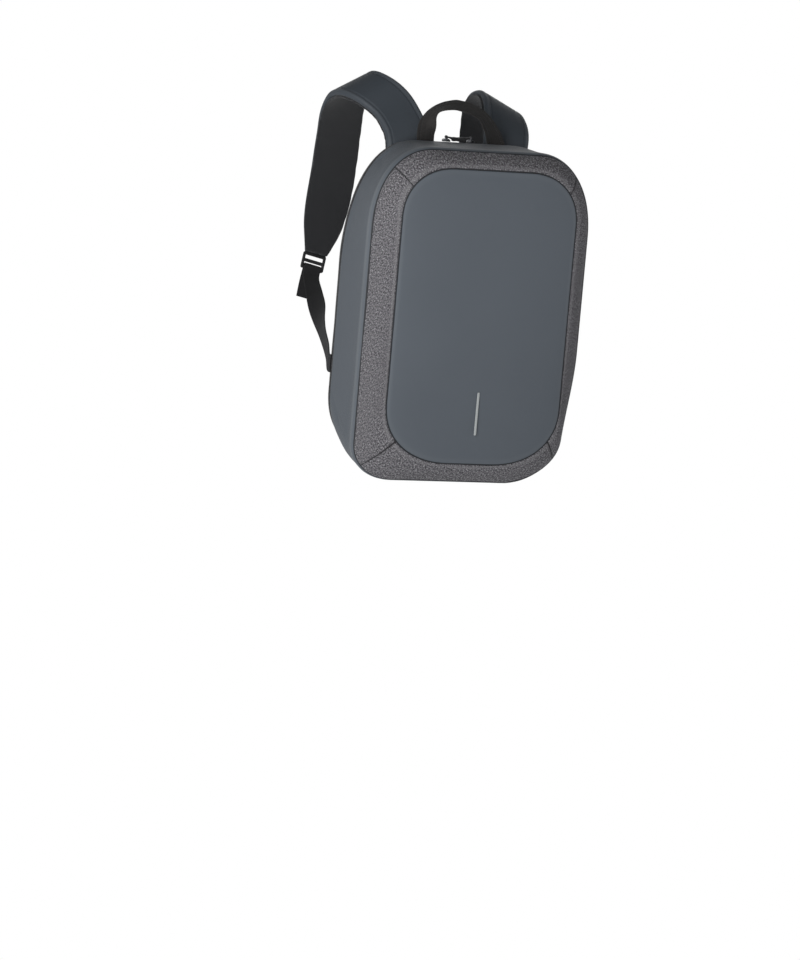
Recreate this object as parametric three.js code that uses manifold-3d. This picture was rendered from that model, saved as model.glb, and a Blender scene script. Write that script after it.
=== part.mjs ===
// Anti-theft backpack in its worn form, in millimetres.
// +Z is up, +Y points to the wearer and -Y to the front of the bag.
// The origin is the middle of the back panel's outer face, the face that lies on the wearer.
import * as THREE from "three";
import { mergeVertices } from "three/addons/utils/BufferGeometryUtils.js";
import Module from "manifold-3d";

const wasm = await Module();
wasm.setup();

// Bag outline at the front, along the outer piping
const FRONT_WIDTH = 310;
const BAG_HEIGHT = 450;
const FRONT_TOP_RADIUS = { x: 80, z: 110 };
const FRONT_BASE_RADIUS = { x: 60, z: 50 };
const CORNER_POWER = 2.2; // 2 is an ellipse, higher is squarer
const PRESS_DEPTH = 13.5; // the lower right corner is pushed in and up by this much, as worn
const PRESS_REACH = { x: 150, z: 185 }; // how far from that corner the push is felt

// Bag outline at the rear, along the zip
const REAR_WIDTH = 324;
const REAR_TOP_RISE = 3.5; // above the front outline's top
const REAR_BASE_LIFT = 11; // above the front outline's base
const REAR_TOP_RADIUS = { x: 94, z: 180 };
const REAR_BASE_RADIUS = { x: 85, z: 92 };

// Front panel, its seam to the frame and its crown
const PANEL_WIDTH = 250;
const PANEL_HEIGHT = 401;
const PANEL_LIFT = 4; // its middle above the bag's middle
const PANEL_TOP_RADIUS = { x: 72, z: 70 };
const PANEL_BASE_RADIUS = { x: 95, z: 80 };
const PANEL_CROWN = 5;
const PANEL_PAD = 5;
const PANEL_EDGE_ROLL = 1.2;

// Depths, each along Y
const BACK_PAD = 13;
const ZIP_BAND_WIDTH = 6.4;
const GUSSET_DEPTH = 100;
const FRAME_DEPTH = 31;

// Walls, trims and the clearance between pieces
const GAP = 0.3;
const GUSSET_WALL = 2.5;
const GUSSET_BULGE = 3.5;
const BASE_DROP = 3; // the flat base lies this far under the front outline
const FRAME_WALL = 3;
const FRAME_BULGE = 0.16; // share of the frame's depth
const PIPING_RADIUS = 1.6;
const WELT_RADIUS = 1.3;
const ZIP_BAND_WALL = 2;
const ZIP_BAND_INSET = 2.5; // inside the gusset's rear edge
const BACK_PANEL_INSET = 3;
const BACK_PANEL_ROLL = 13; // breadth of the rounded rim of the outer face

// Reflective bar on the panel
const BAR_LENGTH = 59;
const BAR_WIDTH = 3.2;
const BAR_THICK = 0.8;
const BAR_X = 3.5;
const BAR_MIDDLE_Z = -126;
const BAR_CREST = 0.88; // share of the panel's crown where the bar lies

// Shoulder straps
const STRAP_WIDTH = 64;
const STRAP_PAD = 9;
const LINING_THICK = 2.6;
const STRAP_REACH = 194; // how far the worn strap stands out from the back panel
const STRAP_RISE = 70; // crest of the worn strap above the bag's top
const STRAP_SPREAD = 128; // from the bag's middle to the strap on the chest

// Carry handle
const WEBBING_WIDTH = 25;
const HANDLE_THICK = 2.5;
const HANDLE_SPAN = 104; // between the middles of the feet
const HANDLE_RISE = 51;
const HANDLE_Y = -8.5;
const HANDLE_X = 1.5;

// Ladder buckles and lower webbing
const BUCKLE_WIDTH = 34;
const BUCKLE_THICK = 4;
const BUCKLE_BAR = 4.5;
const BUCKLE_SLOT = 5.5;
const WEBBING_THICK = 1.6;
const WEBBING_TAIL = 45;
const WEBBING_SAG = 5;
const ANCHOR_Z = -86;
const ANCHOR_LAP = 9; // length sewn along the back panel's side

// Zip sliders and their pull tabs
const SLIDER_LENGTH = 11;
const SLIDER_WIDTH = 9.4;
const SLIDER_HEIGHT = 3.4;
const SLIDER_SPACING = 36; // between the two hinges
const SLIDER_X = -5; // middle between the two hinges
const POST_THICK = 1.2;
const HINGE_RISE = 2.6; // hinge above the slider's body
const HINGE_RADIUS = 0.9;
const HINGE_CLEARANCE = 0.35;
const TAB_LENGTH = 27;
const TAB_WIDTH = 6.2;
const TAB_THICK = 3.4;
const TAB_YAW = 12; // degrees that the two tabs turn to lie side by side
const TAB_DROOP = 6; // degrees that a resting tab falls towards its free end

// Levels that follow from the depths
const ZIP_REAR_Y = -(BACK_PAD + GAP);
const ZIP_FRONT_Y = ZIP_REAR_Y - ZIP_BAND_WIDTH;
const GUSSET_REAR_Y = ZIP_FRONT_Y - GAP;
const GUSSET_FRONT_Y = GUSSET_REAR_Y - GUSSET_DEPTH;
const PIPING_Y = GUSSET_FRONT_Y - GAP - PIPING_RADIUS;
const FRAME_REAR_Y = PIPING_Y - PIPING_RADIUS - GAP;
const PANEL_EDGE_Y = FRAME_REAR_Y - FRAME_DEPTH;
const TOP_Z = BAG_HEIGHT / 2;

const COLOURS = {
  coated_fabric: { color: 0x5a616a, roughness: 0.55, metalness: 0 },
  heather_fabric: { color: 0x646266, roughness: 0.95, metalness: 0 },
  piping: { color: 0x282c31, roughness: 0.6, metalness: 0 },
  webbing: { color: 0x1f2023, roughness: 0.85, metalness: 0 },
  mesh: { color: 0x1b1c1f, roughness: 0.95, metalness: 0 },
  plastic: { color: 0x161719, roughness: 0.45, metalness: 0 },
  metal: { color: 0x6d7074, roughness: 0.3, metalness: 1 },
  reflective: { color: 0x9a9f9f, roughness: 0.4, metalness: 0.2 },
};

const bag = new THREE.Group();

function table(columns, rows) {
  const names = columns.trim().split(/\s+/);
  return rows.map((row) => Object.fromEntries(names.map((name, i) => [name, row[i]])));
}

const mix = (a, b, share) => a + (b - a) * share;

// An outline is the bag's shape seen from the front: a box with four rounded corners.
// A mitre is the angle on a corner at which the frame's seams meet that outline, and press is
// the share of the worn corner's push that the outline takes.
const frontOutline = {
  side: FRONT_WIDTH / 2,
  top: TOP_Z,
  base: -TOP_Z,
  topRadius: FRONT_TOP_RADIUS,
  baseRadius: FRONT_BASE_RADIUS,
  topMitre: 48,
  baseMitre: 38,
  press: 1,
};
const rearOutline = {
  side: REAR_WIDTH / 2,
  top: TOP_Z + REAR_TOP_RISE,
  base: -TOP_Z + REAR_BASE_LIFT,
  topRadius: REAR_TOP_RADIUS,
  baseRadius: REAR_BASE_RADIUS,
  topMitre: 48,
  baseMitre: 38,
  press: 0.6,
};
const panelOutline = {
  side: PANEL_WIDTH / 2,
  top: PANEL_LIFT + PANEL_HEIGHT / 2,
  base: PANEL_LIFT - PANEL_HEIGHT / 2,
  topRadius: PANEL_TOP_RADIUS,
  baseRadius: PANEL_BASE_RADIUS,
  topMitre: 36,
  baseMitre: 38,
  press: 0,
};

function grow(outline, by) {
  const widen = (radius) => ({ x: radius.x + by, z: radius.z + by });
  return {
    ...outline,
    side: outline.side + by,
    top: outline.top + by,
    base: outline.base - by,
    topRadius: widen(outline.topRadius),
    baseRadius: widen(outline.baseRadius),
  };
}

function between(a, b, share) {
  const blend = (p, q) => ({ x: mix(p.x, q.x, share), z: mix(p.z, q.z, share) });
  return {
    ...a,
    side: mix(a.side, b.side, share),
    top: mix(a.top, b.top, share),
    base: mix(a.base, b.base, share),
    topRadius: blend(a.topRadius, b.topRadius),
    baseRadius: blend(a.baseRadius, b.baseRadius),
    press: mix(a.press, b.press, share),
  };
}

const CORNER_STEPS = 10; // even, so that the middle one is the mitre
const SIDE_STEPS = 4;
const END_STEPS = 2;

// Points of one outline, always as many and in the same order: from the right side over the top,
// down the left side and back along the base.
function outlinePoints(outline) {
  const { side, top, base, topRadius, baseRadius, topMitre, baseMitre } = outline;
  const points = [];
  const corner = (signX, signZ, radius, mitre, rising) => {
    const middle = CORNER_STEPS / 2;
    for (let i = 0; i <= CORNER_STEPS; i++) {
      const step = rising ? i : CORNER_STEPS - i;
      const angle = step <= middle
        ? (mitre * step) / middle
        : mitre + ((90 - mitre) * (step - middle)) / middle;
      const turn = THREE.MathUtils.degToRad(angle);
      const power = 2 / CORNER_POWER;
      points.push(new THREE.Vector2(
        signX * (side - radius.x + radius.x * Math.max(0, Math.cos(turn)) ** power),
        (signZ > 0 ? top : base)
          - signZ * (radius.z - radius.z * Math.max(0, Math.sin(turn)) ** power),
      ));
    }
  };
  const straight = (steps, to) => {
    const from = points[points.length - 1];
    for (let i = 1; i < steps; i++) points.push(from.clone().lerp(to, i / steps));
  };
  corner(1, 1, topRadius, topMitre, true);
  straight(END_STEPS, new THREE.Vector2(topRadius.x - side, top));
  corner(-1, 1, topRadius, topMitre, false);
  straight(SIDE_STEPS, new THREE.Vector2(-side, base + baseRadius.z));
  corner(-1, -1, baseRadius, baseMitre, true);
  straight(END_STEPS, new THREE.Vector2(side - baseRadius.x, base));
  corner(1, -1, baseRadius, baseMitre, false);
  straight(SIDE_STEPS, new THREE.Vector2(side, top - topRadius.z));
  for (const p of points) {
    const away = Math.hypot((p.x - side) / PRESS_REACH.x, (p.y - base) / PRESS_REACH.z);
    const push = outline.press * PRESS_DEPTH * Math.max(0, 1 - away ** 2) ** 2;
    p.set(p.x - push, p.y + push);
  }
  return points;
}

const RING_COUNT = outlinePoints(frontOutline).length;
const TOP_LEFT_MITRE = CORNER_STEPS + END_STEPS + CORNER_STEPS / 2;
const BASE_LEFT_MITRE = TOP_LEFT_MITRE + CORNER_STEPS + SIDE_STEPS;
const BASE_RIGHT_MITRE = BASE_LEFT_MITRE + CORNER_STEPS + END_STEPS;
const TOP_RIGHT_MITRE = CORNER_STEPS / 2;

const ringAt = (outline, y) => outlinePoints(outline).map((p) => new THREE.Vector3(p.x, y, p.y));

// A closed body from rings of points. With wrap the last ring joins the first, otherwise each end
// is closed: by a fan round a point where capProfile is absent, or by the flat profile's own faces.
function loft(rings, { wrap = false, capProfile = null } = {}) {
  const size = rings[0].length;
  const corners = rings.flat().map((p) => p.clone());
  const faces = [];
  const last = wrap ? rings.length : rings.length - 1;
  for (let i = 0; i < last; i++) {
    const a = i * size;
    const b = ((i + 1) % rings.length) * size;
    for (let j = 0; j < size; j++) {
      const k = (j + 1) % size;
      faces.push([a + j, b + j, b + k], [a + j, b + k, a + k]);
    }
  }
  if (!wrap) {
    const end = (rings.length - 1) * size;
    if (capProfile) {
      const turned = THREE.ShapeUtils.isClockWise(capProfile);
      for (const [p, q, r] of THREE.ShapeUtils.triangulateShape(capProfile, [])) {
        if (turned) faces.push([p, r, q], [end + p, end + q, end + r]);
        else faces.push([p, q, r], [end + p, end + r, end + q]);
      }
    } else {
      for (const [start, flip] of [[0, false], [end, true]]) {
        const middle = new THREE.Vector3();
        for (let j = 0; j < size; j++) middle.add(corners[start + j]);
        corners.push(middle.divideScalar(size));
        const pole = corners.length - 1;
        for (let j = 0; j < size; j++) {
          const k = (j + 1) % size;
          faces.push(flip ? [pole, start + k, start + j] : [pole, start + j, start + k]);
        }
      }
    }
  }
  return facingOut(corners, faces);
}

// The same faces turned so that they point out of the body.
function facingOut(corners, faces) {
  const side = new THREE.Vector3();
  let volume = 0;
  for (const [a, b, c] of faces) volume += corners[a].dot(side.crossVectors(corners[b], corners[c]));
  const order = volume < 0 ? [0, 2, 1] : [0, 1, 2];
  const geometry = new THREE.BufferGeometry().setFromPoints(corners);
  geometry.setIndex(faces.flatMap((face) => order.map((i) => face[i])));
  geometry.computeVertexNormals();
  return geometry;
}

function toSolid(geometry) {
  const bare = geometry.index ? geometry.toNonIndexed() : geometry.clone();
  bare.deleteAttribute("normal");
  bare.deleteAttribute("uv");
  const merged = mergeVertices(bare, 1e-4);
  return new wasm.Manifold(new wasm.Mesh({
    numProp: 3,
    vertProperties: merged.attributes.position.array,
    triVerts: new Uint32Array(merged.index.array),
  }));
}

function joined(geometries) {
  const solid = geometries.map(toSolid).reduce((sum, next) => sum.add(next));
  const { vertProperties, triVerts } = solid.getMesh();
  const geometry = new THREE.BufferGeometry();
  geometry.setAttribute("position", new THREE.BufferAttribute(vertProperties, 3));
  geometry.setIndex(new THREE.BufferAttribute(triVerts, 1));
  geometry.computeVertexNormals();
  return geometry;
}

function addPiece(name, geometry, finish, parent = bag) {
  const mesh = new THREE.Mesh(geometry, new THREE.MeshStandardMaterial(COLOURS[finish]));
  mesh.name = name;
  parent.add(mesh);
  return mesh;
}

// A round trim that follows an outline
function trimRing(outline, y, radius, sides = 6) {
  const rings = [];
  for (let i = 0; i < sides; i++) {
    const turn = (2 * Math.PI * i) / sides;
    rings.push(ringAt(grow(outline, radius * Math.cos(turn)), y + radius * Math.sin(turn)));
  }
  return loft(rings, { wrap: true });
}

// Front panel: a padded sheet that crowns towards its middle
function frontPanel() {
  const edge = grow(panelOutline, -(WELT_RADIUS + GAP));
  const sheet = table("breadth crown", [
    [0.35, 0.96],
    [0.6, 0.83],
    [0.8, 0.6],
    [0.93, 0.33],
    [0.98, 0.12],
  ]);
  const ring = (breadth, y) => ringAt(edge, y).map(
    (p) => new THREE.Vector3(p.x * breadth, y, mix(PANEL_LIFT, p.z, breadth)),
  );
  const face = (crown) => PANEL_EDGE_Y - PANEL_CROWN * crown;
  const outer = sheet.map(({ breadth, crown }) => ring(breadth, face(crown)));
  const inner = sheet.map(({ breadth, crown }) => ring(breadth, face(crown) + PANEL_PAD));
  const rim = [
    ring(1, PANEL_EDGE_Y + PANEL_EDGE_ROLL),
    ring(1, PANEL_EDGE_Y + PANEL_PAD - PANEL_EDGE_ROLL),
  ];
  addPiece("front_panel", loft([...outer, ...rim, ...inner.reverse()]), "coated_fabric");
  addPiece("panel_welt", trimRing(panelOutline, PANEL_EDGE_Y + WELT_RADIUS, WELT_RADIUS), "piping");
}

// Frame: four heather strips between the piping and the panel, joined at mitres
const FRAME_SHARES = [0, 0.18, 0.42, 0.68, 0.88, 1];

function frameStrips() {
  const outer = outlinePoints(frontOutline);
  const inner = outlinePoints(grow(panelOutline, WELT_RADIUS + GAP));
  const crest = (across) => across + FRAME_BULGE * Math.sin(Math.PI * across);
  const faceY = (across) => FRAME_REAR_Y - FRAME_DEPTH * crest(across);
  const slant = FRAME_WALL * Math.SQRT2;
  const profile = [
    ...FRAME_SHARES.map((across) => new THREE.Vector2(across, faceY(across))),
    ...FRAME_SHARES.slice(1).reverse().map((across) => new THREE.Vector2(across, faceY(across) + slant)),
  ];
  const section = (index, shift) => profile.map(({ x: across, y }) => {
    const p = outer[index].clone().lerp(inner[index], across);
    const flat = new THREE.Vector3(p.x, y, p.y);
    return flat.add(shift);
  });
  const strips = table("name from to", [
    ["frame_top", TOP_RIGHT_MITRE, TOP_LEFT_MITRE],
    ["frame_left", TOP_LEFT_MITRE, BASE_LEFT_MITRE],
    ["frame_bottom", BASE_LEFT_MITRE, BASE_RIGHT_MITRE],
    ["frame_right", BASE_RIGHT_MITRE, TOP_RIGHT_MITRE + RING_COUNT],
  ]);
  for (const { name, from, to } of strips) {
    const rings = [];
    for (let i = from; i <= to; i++) {
      const index = i % RING_COUNT;
      const shift = new THREE.Vector3();
      if (i === from || i === to) {
        // Half of the mitre's gap, towards the middle of this strip
        const inward = i === from ? 1 : -1;
        const next = outer[(index + inward + RING_COUNT) % RING_COUNT];
        const along = next.clone().sub(outer[index]).normalize();
        shift.set(along.x, 0, along.y).multiplyScalar(GAP / 2 + 0.05);
      }
      rings.push(section(index, shift));
    }
    addPiece(name, loft(rings, { capProfile: profile }), "heather_fabric");
  }
  addPiece("outer_piping", trimRing(grow(frontOutline, -GAP), PIPING_Y, PIPING_RADIUS), "piping");
}

// Gusset: the bag's side wall, with a soft roll behind the piping and a flat base
const GUSSET_STATIONS = table("back bulge shape baseDrop baseLift", [
  [0, -0.1, 0, 0, 0],
  [0.012, 0.45, 0, 0.6, 0],
  [0.04, 0.85, 0.02, 0.95, 0],
  [0.08, 1, 0.05, 1, 0],
  [0.16, 0.85, 0.12, 1, 0],
  [0.3, 0.5, 0.28, 1, 0],
  [0.5, 0.25, 0.52, 1, 0],
  [0.7, 0.12, 0.78, 1, 0.1],
  [0.88, 0.04, 0.95, 1, 0.6],
  [0.97, 0, 1, 1, 0.95],
  [1, -0.45, 1, 1, 1.1],
]);

function gussetOutline({ bulge, shape, baseDrop, baseLift }, inset) {
  const outline = grow(between(frontOutline, rearOutline, shape), bulge * GUSSET_BULGE);
  outline.base = mix(frontOutline.base - BASE_DROP * baseDrop, rearOutline.base, baseLift);
  return grow(outline, -inset);
}

function gusset() {
  const y = (back) => mix(GUSSET_FRONT_Y, GUSSET_REAR_Y, back);
  const outer = GUSSET_STATIONS.map((row) => ringAt(gussetOutline(row, 0), y(row.back)));
  const inner = GUSSET_STATIONS.filter((row, i) => i % 2 === 0).map(
    (row) => ringAt(gussetOutline({ ...row, bulge: Math.max(0, row.bulge) }, GUSSET_WALL), y(row.back)),
  );
  addPiece("side_gusset", loft([...outer, ...inner.reverse()], { wrap: true }), "coated_fabric");
}

// Rear of the bag: the zip's band and the padded back panel
const backPanelOutline = grow(rearOutline, -BACK_PANEL_INSET);

function rear() {
  const band = grow(rearOutline, -ZIP_BAND_INSET);
  addPiece("zip_band", loft([
    ringAt(band, ZIP_FRONT_Y),
    ringAt(band, ZIP_REAR_Y),
    ringAt(grow(band, -ZIP_BAND_WALL), ZIP_REAR_Y),
    ringAt(grow(band, -ZIP_BAND_WALL), ZIP_FRONT_Y),
  ], { wrap: true }), "mesh");

  const rim = table("inset depth", [
    [0.15, 1],
    [0, 0.88],
    [0, 0.45],
    [0.14, 0.16],
    [0.5, 0.03],
    [1, 0],
  ]);
  const rings = rim.map(({ inset, depth }) => ringAt(
    grow(backPanelOutline, -inset * BACK_PANEL_ROLL),
    -depth * BACK_PAD,
  ));
  addPiece("back_panel", loft(rings), "mesh");
}

// Reflective bar, on the crown of the panel
function reflectiveBar() {
  const halfLength = (BAR_LENGTH - BAR_WIDTH) / 2;
  const shape = new THREE.Shape();
  shape.absarc(0, halfLength, BAR_WIDTH / 2, 0, Math.PI);
  shape.absarc(0, -halfLength, BAR_WIDTH / 2, Math.PI, 2 * Math.PI);
  const bar = new THREE.ExtrudeGeometry(shape, {
    depth: BAR_THICK,
    bevelEnabled: false,
    curveSegments: 4,
  });
  bar.rotateX(Math.PI / 2);
  const mesh = addPiece("reflective_bar", bar, "reflective");
  mesh.position.set(BAR_X, PANEL_EDGE_Y - PANEL_CROWN * BAR_CREST - GAP, BAR_MIDDLE_Z);
}

// Shoulder straps as worn: side, reach and rise are shares of the spread, the reach and the rise
// over the bag's top, roll is the slope of the strap across its width, in degrees.
const STRAP_STATIONS = {
  left: table("side reach rise roll width thick", [
    [0.54, 0.014, -0.62, 0, 0.94, 0.4],
    [0.54, 0.018, -0.3, 3, 0.98, 0.5],
    [0.545, 0.035, 0.0, 10, 0.97, 0.8],
    [0.575, 0.1, 0.3, 20, 0.94, 1],
    [0.675, 0.215, 0.66, 30, 0.92, 1],
    [0.83, 0.34, 0.9, 33, 0.92, 1],
    [0.935, 0.5, 0.97, 32, 0.95, 1],
    [0.945, 0.68, 0.83, 27, 0.98, 1],
    [0.925, 0.84, 0.43, 18, 1, 1],
    [0.9, 0.94, -0.14, 12, 1, 1],
    [0.895, 0.985, -0.78, 8, 1, 1],
    [0.92, 1, -1.42, 4, 1, 1],
    [0.98, 0.975, -2.07, 0, 0.86, 1],
    [1.05, 0.925, -2.6, -4, 0.5, 0.6],
  ]),
  right: table("side reach rise roll width thick", [
    [0.57, 0.014, -0.62, 0, 0.96, 0.4],
    [0.57, 0.018, -0.3, -2, 1.02, 0.5],
    [0.575, 0.035, 0.0, 0, 1.03, 0.8],
    [0.61, 0.1, 0.28, 6, 1.04, 1],
    [0.64, 0.215, 0.55, 18, 1.05, 1],
    [0.665, 0.34, 0.7, 24, 1.05, 1],
    [0.68, 0.49, 0.74, 27, 1.04, 1],
    [0.695, 0.67, 0.64, 25, 1.02, 1],
    [0.74, 0.83, 0.33, 19, 1, 1],
    [0.785, 0.935, -0.2, 12, 1, 1],
    [0.85, 0.98, -0.82, 8, 1, 1],
    [0.9, 0.99, -1.45, 4, 1, 1],
    [0.97, 0.965, -2.08, 0, 0.86, 1],
    [1.05, 0.915, -2.6, -4, 0.5, 0.6],
  ]),
};
const STRAP_SECTIONS = 30;

// Section shares: across from the neck edge (-1) to the arm edge (1), up to the cover's face
const STRAP_SECTION = table("across up", [
  [1, -0.4],
  [0.99, 0.35],
  [0.94, 0.82],
  [0.82, 1],
  [0.4, 1],
  [-0.4, 1],
  [-0.82, 1],
  [-0.94, 0.82],
  [-0.99, 0.35],
  [-1, -0.4],
  [-0.95, -0.88],
  [-0.86, -1],
  [-0.43, -1],
  [0, -1],
  [0.43, -1],
  [0.86, -1],
  [0.95, -0.88],
]);
// Listed the other way round, so that its upper face is split as the cover's lower face is
const LINING_SECTION = table("across up", [
  [-1, 0],
  [-0.95, 1],
  [-0.86, 1],
  [-0.43, 1],
  [0, 1],
  [0.43, 1],
  [0.86, 1],
  [0.95, 1],
  [1, 0],
  [0.94, -1],
  [-0.94, -1],
]);
const FLAT_SECTION = table("across up", [
  [1, 1],
  [-1, 1],
  [-1, -1],
  [1, -1],
]);

// A smooth reading of a column of stations at a share of the way along
function readColumn(stations, column, share) {
  const place = share * (stations.length - 1);
  const i = Math.min(stations.length - 2, Math.floor(place));
  const value = (n) => stations[Math.min(stations.length - 1, Math.max(0, n))][column];
  const t = place - i;
  const slopeA = (value(i + 1) - value(i - 1)) / 2;
  const slopeB = (value(i + 2) - value(i)) / 2;
  return (2 * t ** 3 - 3 * t ** 2 + 1) * value(i) + (t ** 3 - 2 * t ** 2 + t) * slopeA
    + (3 * t ** 2 - 2 * t ** 3) * value(i + 1) + (t ** 3 - t ** 2) * slopeB;
}

// Where the strap is at a share of its length: middle, tangent, width and outward directions
function strapFrame(sideName, share) {
  const stations = STRAP_STATIONS[sideName];
  const sign = sideName === "left" ? -1 : 1;
  const rootY = GAP + (STRAP_PAD * stations[0].thick) / 2;
  const point = (at) => new THREE.Vector3(
    sign * STRAP_SPREAD * readColumn(stations, "side", at),
    rootY + (STRAP_REACH - rootY) * (readColumn(stations, "reach", at) - stations[0].reach),
    TOP_Z + STRAP_RISE * readColumn(stations, "rise", at),
  );
  const step = 0.002;
  const before = point(Math.max(0, share - step));
  const after = point(Math.min(1, share + step));
  const tangent = after.sub(before).normalize();
  const roll = THREE.MathUtils.degToRad(readColumn(stations, "roll", share));
  const across = new THREE.Vector3(sign * Math.cos(roll), 0, -Math.sin(roll));
  across.addScaledVector(tangent, -across.dot(tangent)).normalize();
  const outward = new THREE.Vector3().crossVectors(tangent, across).multiplyScalar(-sign);
  return {
    middle: point(share),
    tangent,
    across,
    outward,
    width: STRAP_WIDTH * readColumn(stations, "width", share),
    pad: STRAP_PAD * readColumn(stations, "thick", share),
    lining: LINING_THICK * Math.min(1, readColumn(stations, "thick", share) + 0.2),
  };
}

function sectionAt(profile, origin, across, up, halfWidth, halfThick) {
  return profile.map((row) => origin.clone()
    .addScaledVector(across, row.across * halfWidth)
    .addScaledVector(up, row.up * halfThick));
}

const asCap = (profile) => profile.map((row) => new THREE.Vector2(row.across, row.up));

function shoulderStrap(sideName) {
  const cover = [];
  const lining = [];
  for (let i = 0; i <= STRAP_SECTIONS; i++) {
    const at = strapFrame(sideName, i / STRAP_SECTIONS);
    cover.push(sectionAt(STRAP_SECTION, at.middle, at.across, at.outward, at.width / 2, at.pad / 2));
    const under = at.middle.clone()
      .addScaledVector(at.outward, -(at.pad / 2 + GAP + at.lining / 2));
    lining.push(sectionAt(
      LINING_SECTION, under, at.across, at.outward, at.width / 2, at.lining / 2,
    ));
  }
  addPiece(`shoulder_strap_${sideName}`, loft(cover, { capProfile: asCap(STRAP_SECTION) }),
    "coated_fabric");
  addPiece(`strap_lining_${sideName}`, loft(lining, { capProfile: asCap(LINING_SECTION) }), "mesh");
}

// Ladder buckle at the strap's end: three bars with two slots between them
const BUCKLE_HEIGHT = 3 * BUCKLE_BAR + 2 * BUCKLE_SLOT;

function strapBuckle(sideName) {
  const end = strapFrame(sideName, 1);
  const sign = sideName === "left" ? 1 : -1;
  const up = end.tangent.clone().negate();
  const holder = new THREE.Group();
  const seat = end.middle.clone().addScaledVector(end.tangent, GAP);
  const right = end.across.clone().multiplyScalar(sign);
  holder.quaternion.setFromRotationMatrix(new THREE.Matrix4().makeBasis(right, up, end.outward));
  holder.position.copy(seat);
  bag.add(holder);

  const halfWidth = BUCKLE_WIDTH / 2;
  const corner = 3;
  const outline = new THREE.Shape();
  outline.moveTo(-halfWidth + corner, 0);
  outline.lineTo(halfWidth - corner, 0);
  outline.quadraticCurveTo(halfWidth, 0, halfWidth, -corner);
  outline.lineTo(halfWidth, -BUCKLE_HEIGHT + corner);
  outline.quadraticCurveTo(halfWidth, -BUCKLE_HEIGHT, halfWidth - corner, -BUCKLE_HEIGHT);
  outline.lineTo(-halfWidth + corner, -BUCKLE_HEIGHT);
  outline.quadraticCurveTo(-halfWidth, -BUCKLE_HEIGHT, -halfWidth, -BUCKLE_HEIGHT + corner);
  outline.lineTo(-halfWidth, -corner);
  outline.quadraticCurveTo(-halfWidth, 0, -halfWidth + corner, 0);
  const slotHalf = WEBBING_WIDTH / 2 + 1;
  for (const bar of [1, 2]) {
    const top = -bar * BUCKLE_BAR - (bar - 1) * BUCKLE_SLOT;
    const slot = new THREE.Path();
    slot.moveTo(-slotHalf, top);
    slot.lineTo(-slotHalf, top - BUCKLE_SLOT);
    slot.lineTo(slotHalf, top - BUCKLE_SLOT);
    slot.lineTo(slotHalf, top);
    slot.closePath();
    outline.holes.push(slot);
  }
  const plate = new THREE.ExtrudeGeometry(outline, {
    depth: BUCKLE_THICK,
    bevelEnabled: false,
    curveSegments: 4,
  });
  plate.translate(0, 0, -BUCKLE_THICK / 2);
  addPiece(`strap_buckle_${sideName}`, plate, "plastic", holder);
  holder.updateMatrixWorld(true);
  lowerWebbing(sideName, holder, end.across);
}

// Lower webbing: from the back panel's side, forward under the arm, up behind the buckle,
// through its lower slot and down again as a short tail
function lowerWebbing(sideName, buckle, buckleAcross) {
  const sign = sideName === "left" ? -1 : 1;
  const clear = BUCKLE_THICK / 2 + GAP + WEBBING_THICK / 2;
  const barTop = -2 * (BUCKLE_BAR + BUCKLE_SLOT);
  const barBase = barTop - BUCKLE_BAR;
  const inBuckle = (y, z) => buckle.localToWorld(new THREE.Vector3(0, y, z));
  const roundBar = [-90, -45, 0, 45, 90].map(THREE.MathUtils.degToRad)
    .map((turn) => inBuckle(barTop + clear * Math.cos(turn), clear * Math.sin(turn)));
  const sideX = sign * (backPanelOutline.side + GAP + WEBBING_THICK / 2);
  const anchor = new THREE.Vector3(sideX, -ANCHOR_LAP, ANCHOR_Z);
  const behind = inBuckle(barBase - 2 * BUCKLE_BAR, -clear - WEBBING_THICK);
  const underArm = (share) => anchor.clone().lerp(behind, share)
    .add(new THREE.Vector3(0, 0, -WEBBING_SAG * Math.sin(Math.PI * share)));
  const path = new THREE.CatmullRomCurve3([
    anchor,
    new THREE.Vector3(sideX, 0, ANCHOR_Z),
    ...[0.16, 0.34, 0.52, 0.7, 0.86].map(underArm),
    behind,
    inBuckle(barBase, -clear),
    ...roundBar,
    inBuckle(barBase, clear),
    inBuckle(barTop - WEBBING_TAIL / 2, clear + WEBBING_THICK),
    inBuckle(barTop - WEBBING_TAIL, clear),
  ], false, "centripetal");
  const twistStart = 0.15;
  const twistEnd = 0.45;
  const sections = 3 * (path.points.length - 1);
  const rings = [];
  for (let i = 0; i <= sections; i++) {
    const share = i / sections;
    const middle = path.getPoint(share);
    const tangent = path.getTangent(share);
    const twist = THREE.MathUtils.smoothstep(share, twistStart, twistEnd);
    const across = new THREE.Vector3(0, 0, -1).lerp(buckleAcross, twist);
    across.addScaledVector(tangent, -across.dot(tangent)).normalize();
    const up = new THREE.Vector3().crossVectors(tangent, across);
    rings.push(sectionAt(FLAT_SECTION, middle, across, up, WEBBING_WIDTH / 2, WEBBING_THICK / 2));
  }
  addPiece(`lower_webbing_${sideName}`, loft(rings, { capProfile: asCap(FLAT_SECTION) }), "webbing");
}

// Carry handle: one length of webbing that stands on the rear top edge. Its width turns from
// across the bag at the feet to front-to-back at the crest.
const HANDLE_STATIONS = table("side rise turn", [
  [-1, 0, 0],
  [-1, 0.27, 5],
  [-0.96, 0.52, 40],
  [-0.895, 0.72, 68],
  [-0.79, 0.86, 80],
  [-0.61, 0.955, 78],
  [-0.38, 1.01, 68],
  [-0.11, 1.02, 58],
  [0.17, 0.965, 56],
  [0.4, 0.865, 52],
  [0.57, 0.75, 45],
  [0.7, 0.6, 36],
  [0.83, 0.4, 25],
  [0.93, 0.2, 12],
  [1, 0, 0],
]);
const HANDLE_SECTIONS = 26;

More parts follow.
